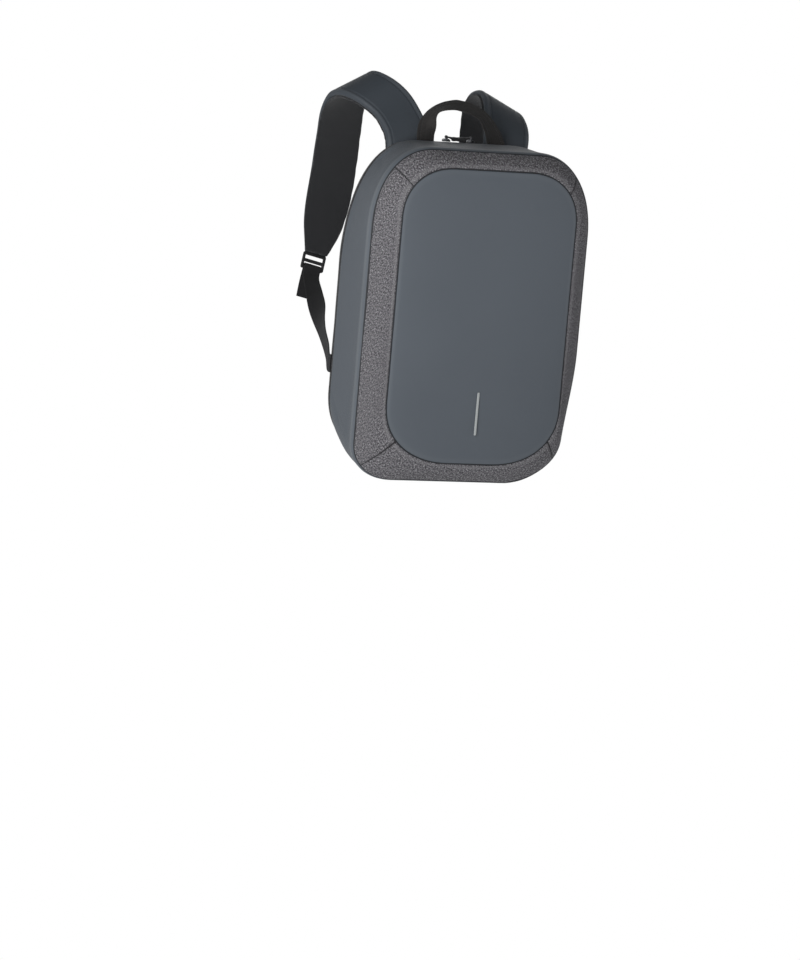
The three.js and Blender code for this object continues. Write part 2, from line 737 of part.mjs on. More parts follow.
function topHandle() {
  const footZ = backPanelOutline.top + GAP;
  const point = (share) => new THREE.Vector3(
    HANDLE_X + (HANDLE_SPAN / 2) * readColumn(HANDLE_STATIONS, "side", share),
    HANDLE_Y,
    footZ + HANDLE_RISE * readColumn(HANDLE_STATIONS, "rise", share),
  );
  const rings = [];
  for (let i = 0; i <= HANDLE_SECTIONS; i++) {
    const share = i / HANDLE_SECTIONS;
    const tangent = point(Math.min(1, share + 0.01)).sub(point(Math.max(0, share - 0.01))).normalize();
    const radial = new THREE.Vector3(-tangent.z, 0, tangent.x);
    if (i === 0 || i === HANDLE_SECTIONS) radial.set(i === 0 ? -1 : 1, 0, 0);
    const turn = THREE.MathUtils.degToRad(readColumn(HANDLE_STATIONS, "turn", share));
    const across = radial.multiplyScalar(Math.cos(turn))
      .add(new THREE.Vector3(0, Math.sin(turn), 0)).normalize();
    const up = new THREE.Vector3().crossVectors(tangent, across).normalize();
    if (i === 0 || i === HANDLE_SECTIONS) up.set(0, i === 0 ? 1 : -1, 0);
    rings.push(sectionAt(FLAT_SECTION, point(share), across, up, WEBBING_WIDTH / 2, HANDLE_THICK / 2));
  }
  addPiece("top_handle", loft(rings, { capProfile: asCap(FLAT_SECTION) }), "webbing");
}

// Zip sliders on the top of the band, each with a pull tab that swings on its pin
const SLIDER_Y = (ZIP_FRONT_Y + ZIP_REAR_Y) / 2;
const SLIDER_SEAT_Z = rearOutline.top + GAP;
const HINGE_Z = SLIDER_HEIGHT + HINGE_RISE;

function sliderBody() {
  const halfLength = SLIDER_LENGTH / 2;
  const side = new THREE.Shape();
  side.moveTo(-halfLength, 0);
  side.lineTo(halfLength, 0);
  side.lineTo(halfLength * 0.92, SLIDER_HEIGHT * 0.75);
  side.lineTo(halfLength * 0.6, SLIDER_HEIGHT);
  side.lineTo(-halfLength * 0.6, SLIDER_HEIGHT);
  side.lineTo(-halfLength * 0.92, SLIDER_HEIGHT * 0.75);
  side.closePath();
  const body = new THREE.ExtrudeGeometry(side, { depth: SLIDER_WIDTH, bevelEnabled: false });
  body.rotateX(Math.PI / 2);
  body.translate(0, SLIDER_WIDTH / 2, 0);
  const parts = [body];
  const postHeight = HINGE_RISE + HINGE_RADIUS * 2;
  for (const y of [-1, 1]) {
    const post = new THREE.BoxGeometry(HINGE_RADIUS * 3.4, POST_THICK, postHeight);
    post.translate(
      0,
      y * (SLIDER_WIDTH / 2 - POST_THICK / 2),
      SLIDER_HEIGHT + postHeight / 2 - 0.4,
    );
    parts.push(post);
  }
  const pin = new THREE.CylinderGeometry(HINGE_RADIUS, HINGE_RADIUS, SLIDER_WIDTH - POST_THICK, 10);
  pin.translate(0, 0, HINGE_Z);
  parts.push(pin);
  return joined(parts);
}

function pullTab() {
  const barrel = HINGE_RADIUS + HINGE_CLEARANCE + 0.9;
  const half = TAB_THICK / 2;
  const shape = new THREE.Shape();
  const meet = Math.asin((half * 0.55) / barrel);
  shape.absarc(0, 0, barrel, meet, 2 * Math.PI - meet, false);
  shape.lineTo(TAB_LENGTH * 0.3, -half * 0.6);
  shape.lineTo(TAB_LENGTH * 0.42, -half);
  shape.lineTo(TAB_LENGTH * 0.94, -half);
  shape.lineTo(TAB_LENGTH, -half * 0.4);
  shape.lineTo(TAB_LENGTH, half * 0.4);
  shape.lineTo(TAB_LENGTH * 0.94, half);
  shape.lineTo(TAB_LENGTH * 0.42, half);
  shape.lineTo(TAB_LENGTH * 0.3, half * 0.6);
  shape.closePath();
  const bore = new THREE.Path();
  bore.absarc(0, 0, HINGE_RADIUS + HINGE_CLEARANCE, 0, 2 * Math.PI, true);
  shape.holes.push(bore);
  const tab = new THREE.ExtrudeGeometry(shape, {
    depth: TAB_WIDTH,
    bevelEnabled: false,
    curveSegments: 12,
  });
  tab.rotateX(Math.PI / 2);
  tab.translate(0, TAB_WIDTH / 2, 0);
  return tab;
}

function zipSlider(sideName) {
  const sign = sideName === "left" ? 1 : -1; // the way its tab points along X
  const holder = new THREE.Group();
  holder.position.set(SLIDER_X - (sign * SLIDER_SPACING) / 2, SLIDER_Y, SLIDER_SEAT_Z);
  holder.rotation.z = (sign > 0 ? 0 : Math.PI) - THREE.MathUtils.degToRad(TAB_YAW);
  bag.add(holder);
  addPiece(`zip_slider_${sideName}`, sliderBody(), "metal", holder);
  const tab = addPiece(`pull_tab_${sideName}`, pullTab(), "plastic", holder);
  tab.position.z = HINGE_Z;
  tab.rotation.y = THREE.MathUtils.degToRad(TAB_DROOP);
}

frontPanel();
frameStrips();
gusset();
rear();
reflectiveBar();
for (const sideName of ["left", "right"]) {
  shoulderStrap(sideName);
  strapBuckle(sideName);
  zipSlider(sideName);
}
topHandle();

export default bag;
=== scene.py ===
"""Looks of an anti-theft backpack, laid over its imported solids.
Lengths are in millimetres until a mesh is made, and the meshes are in metres.
+Z is up, +Y points to the wearer, and the origin is the middle of the back panel's outer face."""

import math

import bmesh
import bpy
import numpy as np
from mathutils import Matrix, Vector, noise


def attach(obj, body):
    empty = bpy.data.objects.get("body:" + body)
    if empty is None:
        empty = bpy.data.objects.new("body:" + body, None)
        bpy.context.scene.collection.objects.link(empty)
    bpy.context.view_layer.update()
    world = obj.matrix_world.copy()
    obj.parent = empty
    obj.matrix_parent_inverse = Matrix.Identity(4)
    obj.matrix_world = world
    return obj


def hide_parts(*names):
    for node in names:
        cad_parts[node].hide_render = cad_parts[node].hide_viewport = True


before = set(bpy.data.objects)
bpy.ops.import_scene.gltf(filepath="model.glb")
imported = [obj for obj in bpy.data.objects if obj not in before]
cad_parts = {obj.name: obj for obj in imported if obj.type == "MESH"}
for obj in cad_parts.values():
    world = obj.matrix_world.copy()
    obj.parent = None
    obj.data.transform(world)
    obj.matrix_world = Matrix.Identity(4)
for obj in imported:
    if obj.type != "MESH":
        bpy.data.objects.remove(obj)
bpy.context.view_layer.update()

MM = 0.001

# Sizes of the bag, the same as its solids have
GAP = 0.3
PRESS_DEPTH = 13.5  # the lower right corner is pushed in and up, as worn
PRESS_SIDE_REACH = np.array([150, 185])  # how far the side feels it, across and up
PRESS_BASE_REACH = np.array([85, 185])  # the base's cloth feels it less far than its solid does
CORNER_POWER = 2.2
PANEL_LIFT = 4
PANEL_CROWN = 5
PANEL_PAD = 5
WELT_RADIUS = 1.3
WELT_SEEN = 1.0  # the welt is squeezed thin between the panel and the frame
PIPING_RADIUS = 1.6
GUSSET_WALL = 2.5
GUSSET_BULGE = 3.5
BASE_DROP = 3
FRAME_DEPTH = 31
FRAME_WALL = 3
FRAME_BULGE = 0.16
BACK_PAD = 13
BACK_PANEL_INSET = 3
BACK_PANEL_ROLL = 13
ZIP_BAND_INSET = 2.5
ZIP_BAND_WALL = 2
TOP_Z = 225
ZIP_REAR_Y = -13.3
ZIP_FRONT_Y = -19.7
GUSSET_REAR_Y = -20
GUSSET_FRONT_Y = -120
PIPING_Y = -121.9
FRAME_REAR_Y = -123.8
PANEL_EDGE_Y = -154.8
STRAP_WIDTH = 64
STRAP_PAD = 9
LINING_THICK = 2.6
STRAP_REACH = 194
STRAP_RISE = 70
STRAP_SPREAD = 128
WEBBING_WIDTH = 25
WEBBING_THICK = 1.6
HANDLE_THICK = 2.5
HANDLE_SPAN = 104
HANDLE_RISE = 51
HANDLE_Y = -8.5
HANDLE_X = 1.5
SLIDER_X = -5
SLIDER_SPACING = 36

CORNER_STEPS = 40  # even, so that the middle one is the mitre
SIDE_STEPS = 34
END_STEPS = 22
CORNERS = ((1, 1, True), (-1, 1, False), (-1, -1, True), (1, -1, False))


# Outlines and lofts
class Outline:
    """The bag seen from the front: a box with rounded corners and one corner pushed in."""

    def __init__(self, side, top, base, top_x, top_z, base_x, base_z, mitres, press):
        self.sizes = np.array([side, top, base, top_x, top_z, base_x, base_z, press], float)
        self.mitres = mitres

    def _with(self, sizes):
        return Outline(*sizes[:7], self.mitres, sizes[7])

    def grown(self, by):
        return self._with(self.sizes + by * np.array([1, 1, -1, 1, 1, 1, 1, 0]))

    def towards(self, other, share):
        return self._with(self.sizes * (1 - share) + other.sizes * share)

    def based_at(self, base):
        sizes = self.sizes.copy()
        sizes[2] = base
        return self._with(sizes)

    def corner(self, sign_x, sign_z, rising):
        side, top, base, top_x, top_z, base_x, base_z = self.sizes[:7]
        run, rise = (top_x, top_z) if sign_z > 0 else (base_x, base_z)
        mitre = self.mitres[0 if sign_z > 0 else 1]
        half = CORNER_STEPS // 2
        angles = np.concatenate([
            np.linspace(0, mitre, half + 1),
            np.linspace(mitre, 90, half + 1)[1:],
        ])
        turn = np.radians(angles if rising else angles[::-1])
        power = 2 / CORNER_POWER
        level = top if sign_z > 0 else base
        return np.stack([
            sign_x * (side - run + run * np.maximum(0, np.cos(turn)) ** power),
            level - sign_z * (rise - rise * np.maximum(0, np.sin(turn)) ** power),
        ], 1)

    def points(self):
        """From the right side over the top, down the left side and back along the base."""
        corners = [self.corner(*which) for which in CORNERS]
        rows = []
        for here, after, steps in zip(
            corners, corners[1:] + corners[:1], (END_STEPS, SIDE_STEPS, END_STEPS, SIDE_STEPS)
        ):
            rows.append(here)
            shares = np.arange(1, steps)[:, None] / steps
            rows.append(here[-1] * (1 - shares) + after[0] * shares)
        flat = np.concatenate(rows)
        pushes = []
        for reach in (PRESS_SIDE_REACH, PRESS_BASE_REACH):
            away = np.linalg.norm((flat - self.sizes[[0, 2]]) / reach, axis=1)
            pushes.append(self.sizes[7] * PRESS_DEPTH * np.maximum(0, 1 - away**2) ** 2)
        return flat + np.stack([-pushes[0], pushes[1]], 1)

    def ring(self, y):
        flat = self.points()
        return np.stack([flat[:, 0], np.full(len(flat), float(y)), flat[:, 1]], 1)


front_outline = Outline(155, TOP_Z, -TOP_Z, 80, 110, 60, 50, (48, 38), 1)
rear_outline = Outline(162, TOP_Z + 3.5, -TOP_Z + 11, 94, 180, 85, 92, (48, 38), 0.6)
panel_outline = Outline(125, 204.5, -196.5, 72, 70, 95, 80, (36, 38), 0)
back_outline = rear_outline.grown(-BACK_PANEL_INSET)

RING_COUNT = len(front_outline.points())
TOP_LEFT_MITRE = CORNER_STEPS + END_STEPS + CORNER_STEPS // 2
BASE_LEFT_MITRE = TOP_LEFT_MITRE + CORNER_STEPS + SIDE_STEPS
BASE_RIGHT_MITRE = BASE_LEFT_MITRE + CORNER_STEPS + END_STEPS + 3  # drawn aside by the push
TOP_RIGHT_MITRE = CORNER_STEPS // 2


def smooth_read(stations, column, share):
    """A smooth reading of a column of stations at a share of the way along."""
    place = min(max(share, 0), 1) * (len(stations) - 1)
    i = min(len(stations) - 2, int(place))
    t = place - i

    def value(n):
        return stations[min(len(stations) - 1, max(0, n))][column]

    rise_a = (value(i + 1) - value(i - 1)) / 2
    rise_b = (value(i + 2) - value(i)) / 2
    return (
        (2 * t**3 - 3 * t**2 + 1) * value(i)
        + (t**3 - 2 * t**2 + t) * rise_a
        + (3 * t**2 - 2 * t**3) * value(i + 1)
        + (t**3 - t**2) * rise_b
    )


def unit(vector):
    return vector / np.linalg.norm(vector)


def lofted(rows, tube=False, ends="fan"):
    """Points, faces and cloth coordinates of a body whose rows are closed rings of points."""
    rows = np.asarray(rows, float)
    count, size = rows.shape[:2]
    ring_length = np.linalg.norm(np.roll(rows, -1, axis=1) - rows, axis=2)
    u = np.concatenate([np.zeros((count, 1)), np.cumsum(ring_length, axis=1)], 1)
    step = np.linalg.norm(np.roll(rows, -1, axis=0) - rows, axis=2).mean(1)
    v = np.concatenate([[0], np.cumsum(step)])
    points = rows.reshape(-1, 3)
    faces, cloth = [], []
    for i in range(count if tube else count - 1):
        after = (i + 1) % count
        for j in range(size):
            k = (j + 1) % size
            faces.append((i * size + j, after * size + j, after * size + k, i * size + k))
            cloth += [
                (u[i, j], v[i]), (u[after, j], v[i + 1]),
                (u[after, j + 1], v[i + 1]), (u[i, j + 1], v[i]),
            ]
    if not tube:
        for row in (0, count - 1):
            first = row * size
            if ends == "flat":
                faces.append(tuple(range(first, first + size)))
                cloth += [(u[row, j], v[row]) for j in range(size)]
                continue
            points = np.concatenate([points, rows[row].mean(0)[None]])
            for j in range(size):
                faces.append((len(points) - 1, first + j, first + (j + 1) % size))
                cloth += [(u[row, j], v[row])] * 3
    return points, faces, np.array(cloth)


def piece(name, body, finish, replaces=(), rides="bag", flat_cloth=False, smooth=True):
    """A mesh object from a lofted body, with its cloth coordinates in millimetres."""
    points, faces, cloth = body
    mesh = bpy.data.meshes.new(name)
    mesh.from_pydata((np.asarray(points) * MM).tolist(), [], faces)
    layer = mesh.uv_layers.new(name="Cloth")
    if flat_cloth:
        corners = np.zeros(len(mesh.loops), int)
        mesh.loops.foreach_get("vertex_index", corners)
        cloth = np.asarray(points)[corners][:, [0, 2]]
    layer.data.foreach_set("uv", np.asarray(cloth, float).ravel())
    work = bmesh.new()
    work.from_mesh(mesh)
    bmesh.ops.recalc_face_normals(work, faces=work.faces)
    work.to_mesh(mesh)
    work.free()
    mesh.polygons.foreach_set("use_smooth", [smooth] * len(mesh.polygons))
    made = bpy.data.objects.new(name, mesh)
    bpy.context.scene.collection.objects.link(made)
    return placed(made, finish, replaces, rides)


def placed(made, finish, replaces=(), rides="bag"):
    made.data.materials.clear()
    made.data.materials.append(finish)
    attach(made, rides)
    if replaces:
        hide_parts(*replaces)
    return made


def places(made):
    flat = np.zeros(len(made.data.vertices) * 3)
    made.data.vertices.foreach_get("co", flat)
    return flat.reshape(-1, 3) / MM


def set_places(made, points):
    made.data.vertices.foreach_set("co", (points * MM).ravel())
    made.data.update()


def facings(made):
    flat = np.zeros(len(made.data.vertices) * 3)
    made.data.vertex_normals.foreach_get("vector", flat)
    return flat.reshape(-1, 3)


def rumple(made, depth, size, seed, where=None):
    """Soft unevenness along the surface, of a depth and a size, held to a share at each point."""
    points = places(made)
    share = np.ones(len(points)) if where is None else where(points)
    shift = Vector((seed * 7.3, seed * 3.1, seed * 5.7))
    wave = np.array([noise.noise(Vector(p) / size + shift) for p in points])
    set_places(made, points + facings(made) * (depth * wave * share)[:, None])


def mark(made, name, values):
    """A value at each point for the finish to read."""
    attribute = made.data.attributes.new(name, "FLOAT", "POINT")
    attribute.data.foreach_set("value", np.asarray(values, np.float32))


def ease(x, low, high):
    t = np.clip((np.asarray(x, float) - low) / (high - low), 0, 1)
    return t * t * (3 - 2 * t)


# Finishes
class Reading:
    """A shader socket that takes part in sums as a number does."""

    def __init__(self, finish, socket):
        self.finish, self.socket = finish, socket

    def _sum(self, operation, other, swapped=False):
        a, b = (other, self) if swapped else (self, other)
        return self.finish.node("ShaderNodeMath", {"operation": operation}, {0: a, 1: b})

    def __add__(self, other):
        return self._sum("ADD", other)

    def __sub__(self, other):
        return self._sum("SUBTRACT", other)

    def __rsub__(self, other):
        return self._sum("SUBTRACT", other, True)

    def __mul__(self, other):
        return self._sum("MULTIPLY", other)

    def __gt__(self, other):
        return self._sum("GREATER_THAN", other)

    __radd__ = __add__
    __rmul__ = __mul__

    def done(self, operation):
        return self.finish.node("ShaderNodeMath", {"operation": operation}, {0: self})

    def held(self, low=0.0, high=1.0, to_low=0.0, to_high=1.0):
        """This reading between low and high, spread over to_low and to_high."""
        return self.finish.node(
            "ShaderNodeMapRange", {"interpolation_type": "SMOOTHSTEP"},
            {0: self, 1: low, 2: high, 3: to_low, 4: to_high},
        )


class Finish:
    """A material made of nodes, one call to a node."""

    def __init__(self, name):
        self.material = bpy.data.materials.new(name)
        self.material.use_nodes = True
        self.tree = self.material.node_tree
        self.tree.nodes.clear()

    def node(self, kind, settings=None, sockets=None, out=0):
        made = self.tree.nodes.new(kind)
        for key, value in (settings or {}).items():
            if key == "stops":
                ramp = made.color_ramp
                while len(ramp.elements) < len(value):
                    ramp.elements.new(1)
                for stop, (place, colour) in zip(ramp.elements, value):
                    stop.position, stop.color = place, (*colour, 1)
            else:
                setattr(made, key, value)
        for key, value in (sockets or {}).items():
            if isinstance(value, Reading):
                self.tree.links.new(value.socket, made.inputs[key])
            else:
                made.inputs[key].default_value = value
        return Reading(self, made.outputs[out]) if len(made.outputs) else None

    def cloth(self):
        """The piece's own cloth coordinates in millimetres: across, along, and both as a vector."""
        both = self.node("ShaderNodeUVMap", {"uv_map": "Cloth"})
        return *(self.part(both, i) for i in (0, 1)), both

    def part(self, vector, which):
        return self.node("ShaderNodeSeparateXYZ", None, {0: vector}, which)

    def place(self):
        return self.node("ShaderNodeTexCoord", None, None, 3)

    def marked(self, name):
        return self.node("ShaderNodeAttribute", {"attribute_name": name}, None, 2)

    def stretched(self, vector, scale):
        return self.node("ShaderNodeMapping", None, {"Vector": vector, "Scale": scale})

    def speckle(self, vector, scale, detail=2.0, roughness=0.5):
        return self.node(
            "ShaderNodeTexNoise", None,
            {"Vector": vector, "Scale": scale, "Detail": detail, "Roughness": roughness},
        )

    def between(self, share, a, b):
        settings = {"data_type": "RGBA", "clamp_factor": True}
        a, b = (value if isinstance(value, Reading) else (*value, 1) for value in (a, b))
        return self.node("ShaderNodeMix", settings, {0: share, 6: a, 7: b}, 2)

    def close(self, colour, roughness, height=None, depth=0.1, **constants):
        """The shader, with a relief of a depth in millimetres and its fixed values."""
        sockets = {"Base Color": colour, "Roughness": roughness}
        if not isinstance(colour, Reading):
            sockets["Base Color"] = (*colour, 1)
        if height is not None:
            sockets["Normal"] = self.node(
                "ShaderNodeBump", None, {"Strength": 1.0, "Distance": depth * MM, "Height": height}
            )
        sockets.update({key.replace("_", " "): value for key, value in constants.items()})
        surface = self.node("ShaderNodeBsdfPrincipled", None, sockets)
        self.node("ShaderNodeOutputMaterial", None, {"Surface": surface})
        return self.material


def ridges(reading, pitch):
    """Rounded ridges, one each pitch."""
    return (reading * (math.pi / pitch)).done("SINE").done("ABSOLUTE")


def plain_weave(u, v, pitch):
    """Height of a plain weave whose threads lie a pitch apart."""
    over = ((u * (math.pi / pitch)).done("SINE") * (v * (math.pi / pitch)).done("SINE")) > 0
    return ridges(u, pitch) * over + ridges(v, pitch) * (1 - over)


def coated_fabric(name, dark, light, highlight_and_scuff=(0.2, 0.215, 0.23)):
    """Coated polyester: a fine close weave under a satin film, with a painted highlight on its
    marked ridges and rolled edges, and a few pale random scuffs.
    """
    f = Finish(name)
    u, v = f.cloth()[:2]
    where = f.place()
    broad = f.speckle(where, 5.0, 2.0, 0.45).held(0.25, 0.75)
    fine = f.speckle(where, 900.0, 2.0, 0.6)
    weave = plain_weave(u, v, 0.9)
    scuffs = f.speckle(f.stretched(where, (60.0, 60.0, 14.0)), 2.2, 4.0, 0.65).held(0.62, 0.78)
    rubbed = f.marked("rubbed")
    tone = f.between(broad, dark, light)
    tone = f.between(fine.held(0.35, 0.65) * 0.22 + weave * 0.12, tone, light)
    # painted highlight: the marked ridges and rolled edges are lightened towards the pale colour,
    # which the random scuffs also use
    tone = f.between(rubbed * (0.32 + 0.3 * broad) + scuffs * 0.05, tone, highlight_and_scuff)
    grain = weave * 0.6 + fine * 0.5 + f.speckle(where, 220.0, 3.0) * 0.35
    rough = 0.5 + broad * 0.05 + fine * 0.1 - rubbed * 0.06
    return f.close(
        tone, rough, grain, 0.11, Specular_IOR_Level=0.3, Sheen_Weight=0.05,
        Sheen_Roughness=0.45,
    )


def heather_fabric():
    """Melange polyester: dark and light yarns in short streaks both ways."""
    f = Finish("heather_cloth")
    u, v, both = f.cloth()
    across = f.speckle(f.stretched(both, (0.34, 0.76, 1.0)), 1.0, 1.0, 0.5)
    along = f.speckle(f.stretched(both, (0.76, 0.34, 1.0)), 1.0, 1.0, 0.5)
    mottle = f.speckle(both, 0.52, 1.0, 0.5)
    weave = plain_weave(u, v, 1.1)
    warp = f.node("ShaderNodeMath", {"operation": "MAXIMUM"}, {0: across, 1: along})
    shade = warp * 0.5 + mottle * 0.5 + weave * 0.03
    tone = f.node("ShaderNodeValToRGB", {"stops": [
        (0.38, (0.028, 0.0275, 0.031)), (0.48, (0.072, 0.069, 0.076)), (0.54, (0.124, 0.12, 0.13)),
        (0.6, (0.21, 0.204, 0.218)), (0.7, (0.38, 0.372, 0.388)),
    ]}, {0: shade})
    rubbed = f.marked("rubbed")
    # painted highlight: the marked ridge of the frame is lightened
    tone = f.between(rubbed * 0.5, tone, (0.24, 0.235, 0.245))
    # painted shade: the mitre seams between the frame strips are darkened almost to black
    tone = f.between(f.marked("seam") * 0.9, tone, (0.012, 0.012, 0.013))
    grain = weave * 0.8 + warp * 0.7 + f.speckle(both, 3.5, 2.0) * 0.4
    return f.close(
        tone, 0.86 + mottle * 0.1, grain, 0.3, Specular_IOR_Level=0.2, Sheen_Weight=0.08,
        Sheen_Roughness=0.5,
    )


def webbing(name, dark, light, pitch=1.5):
    """Woven webbing: ribs across its width, ends of yarn along it and fluff on both."""
    f = Finish(name)
    u, v, both = f.cloth()
    ribs = ridges(v, pitch)
    yarns = ridges(u + (v * (math.pi / pitch)).done("SINE") * 0.22, 1.05)
    fluff = f.speckle(f.stretched(both, (1.6, 0.7, 1.0)), 1.0, 4.0, 0.7)
    worn = f.speckle(f.place(), 30.0, 3.0, 0.6).held(0.42, 0.72)
    tone = f.between(ribs * yarns * 0.55 + fluff.held(0.4, 0.75) * 0.45, dark, light)
    tone = f.between(worn * 0.25, tone, light)
    height = ribs * 0.7 + yarns * 0.5 + fluff * 0.6
    return f.close(
        tone, 0.72 + fluff * 0.15, height, 0.4, Specular_IOR_Level=0.25, Sheen_Weight=0.06,
        Sheen_Roughness=0.5,
    )


def spacer_mesh():
    """Knitted spacer mesh: rows of small holes set half a hole aside in every other row."""
    f = Finish("spacer_mesh_cloth")
    u, v, both = f.cloth()
    a = (u * (math.pi / 1.6)).done("SINE") * (v * (math.pi / 1.35)).done("SINE")
    knit = a.done("ABSOLUTE")
    hole = knit.held(0.35, 0.8)
    fluff = f.speckle(both, 1.4, 3.0, 0.6)
    # the holes are painted darker: painted shade inside them
    tone = f.between(hole, (0.022, 0.023, 0.026), (0.006, 0.006, 0.007))
    tone = f.between(fluff.held(0.45, 0.8) * 0.4, tone, (0.04, 0.041, 0.045))
    return f.close(
        tone, 0.84 + fluff * 0.1, 1 - hole + fluff * 0.3, 0.5, Specular_IOR_Level=0.25,
        Sheen_Weight=0.2, Sheen_Roughness=0.5,
    )


def zip_tape():
    """Woven zip tape: a fine twill with a faint shine."""
    f = Finish("zip_tape_cloth")
    u, v, both = f.cloth()
    twill = ridges(u + v * 0.6, 0.9)
    fluff = f.speckle(both, 1.5, 2.0)
    tone = f.between(twill * 0.4 + fluff * 0.4, (0.01, 0.01, 0.012), (0.035, 0.036, 0.04))
    return f.close(tone, 0.72 + fluff * 0.12, twill + fluff * 0.4, 0.25, Sheen_Weight=0.15)


def piping_cloth():
    """Piping: thin bias-cut cover over a cord."""
    f = Finish("piping_cover")
    u, v, both = f.cloth()
    bias = ridges(u * 0.8 + v * 1.1, 1.3)
    fluff = f.speckle(both, 0.9, 3.0, 0.6)
    tone = f.between(bias * 0.35 + fluff * 0.5, (0.009, 0.01, 0.012), (0.036, 0.039, 0.044))
    return f.close(tone, 0.55 + fluff * 0.2, bias + fluff * 0.3, 0.12, Specular_IOR_Level=0.4)


def thread(name, dark, light):
    f = Finish(name)
    where = f.place()
    ply = f.speckle(where, 1400.0, 2.0)
    return f.close(f.between(ply, dark, light), 0.6 + ply * 0.15, ply, 0.05, Sheen_Weight=0.2)


def moulded_plastic():
    """Moulded black plastic with a fine spark grain, polished a little by use."""
    f = Finish("moulded_plastic")
    where = f.place()
    grain = f.speckle(where, 1500.0, 2.0, 0.6)
    handled = f.speckle(where, 45.0, 3.0, 0.6)
    tone = f.between(handled.held(0.4, 0.8), (0.011, 0.011, 0.012), (0.024, 0.024, 0.026))
    return f.close(tone, 0.44 + handled * 0.18 + grain * 0.08, grain, 0.03,
                   Specular_IOR_Level=0.35)


def slider_metal():
    """Plated slider metal, brushed and a little scratched."""
    f = Finish("plated_metal")
    where = f.place()
    brushed = f.speckle(f.stretched(where, (900.0, 900.0, 60.0)), 1.0, 3.0, 0.6)
    dull = f.speckle(where, 160.0, 3.0)
    tone = f.between(dull.held(0.35, 0.7), (0.05, 0.052, 0.056), (0.2, 0.205, 0.215))
    return f.close(tone, 0.24 + dull * 0.16 + brushed * 0.1, brushed, 0.02, Metallic=1.0)


def reflective_film():
    """Reflective film: close rows of tiny beads under a clear face."""
    f = Finish("reflective_film")
    where = f.place()
    beads = f.speckle(where, 2600.0, 1.0, 0.5)
    rows = ridges(f.part(where, 2) * 1000 + f.part(where, 0) * 1000, 1.2)
    shine = beads.held(0.35, 0.65) * 0.6 + rows * 0.3
    tone = f.between(shine, (0.26, 0.28, 0.28), (0.5, 0.52, 0.52))
    return f.close(tone, 0.36 + beads * 0.18, beads + rows * 0.3, 0.03, Specular_IOR_Level=0.6)


slate = coated_fabric("slate_coated_cloth", (0.088, 0.101, 0.118), (0.096, 0.11, 0.128))
strap_slate = coated_fabric(
    "strap_cover_cloth", (0.042, 0.05, 0.06), (0.05, 0.059, 0.07), (0.115, 0.127, 0.142)
)
heather = heather_fabric()
black_webbing = webbing("black_webbing", (0.006, 0.0062, 0.0068), (0.028, 0.028, 0.03))
handle_webbing = webbing("handle_webbing", (0.008, 0.008, 0.0084), (0.062, 0.057, 0.054), 1.8)
black_mesh = spacer_mesh()
tape = zip_tape()
piping = piping_cloth()
grey_thread = thread("grey_thread", (0.03, 0.032, 0.036), (0.075, 0.08, 0.088))
black_thread = thread("black_thread", (0.014, 0.014, 0.015), (0.05, 0.05, 0.053))
plastic = moulded_plastic()
metal = slider_metal()
film = reflective_film()


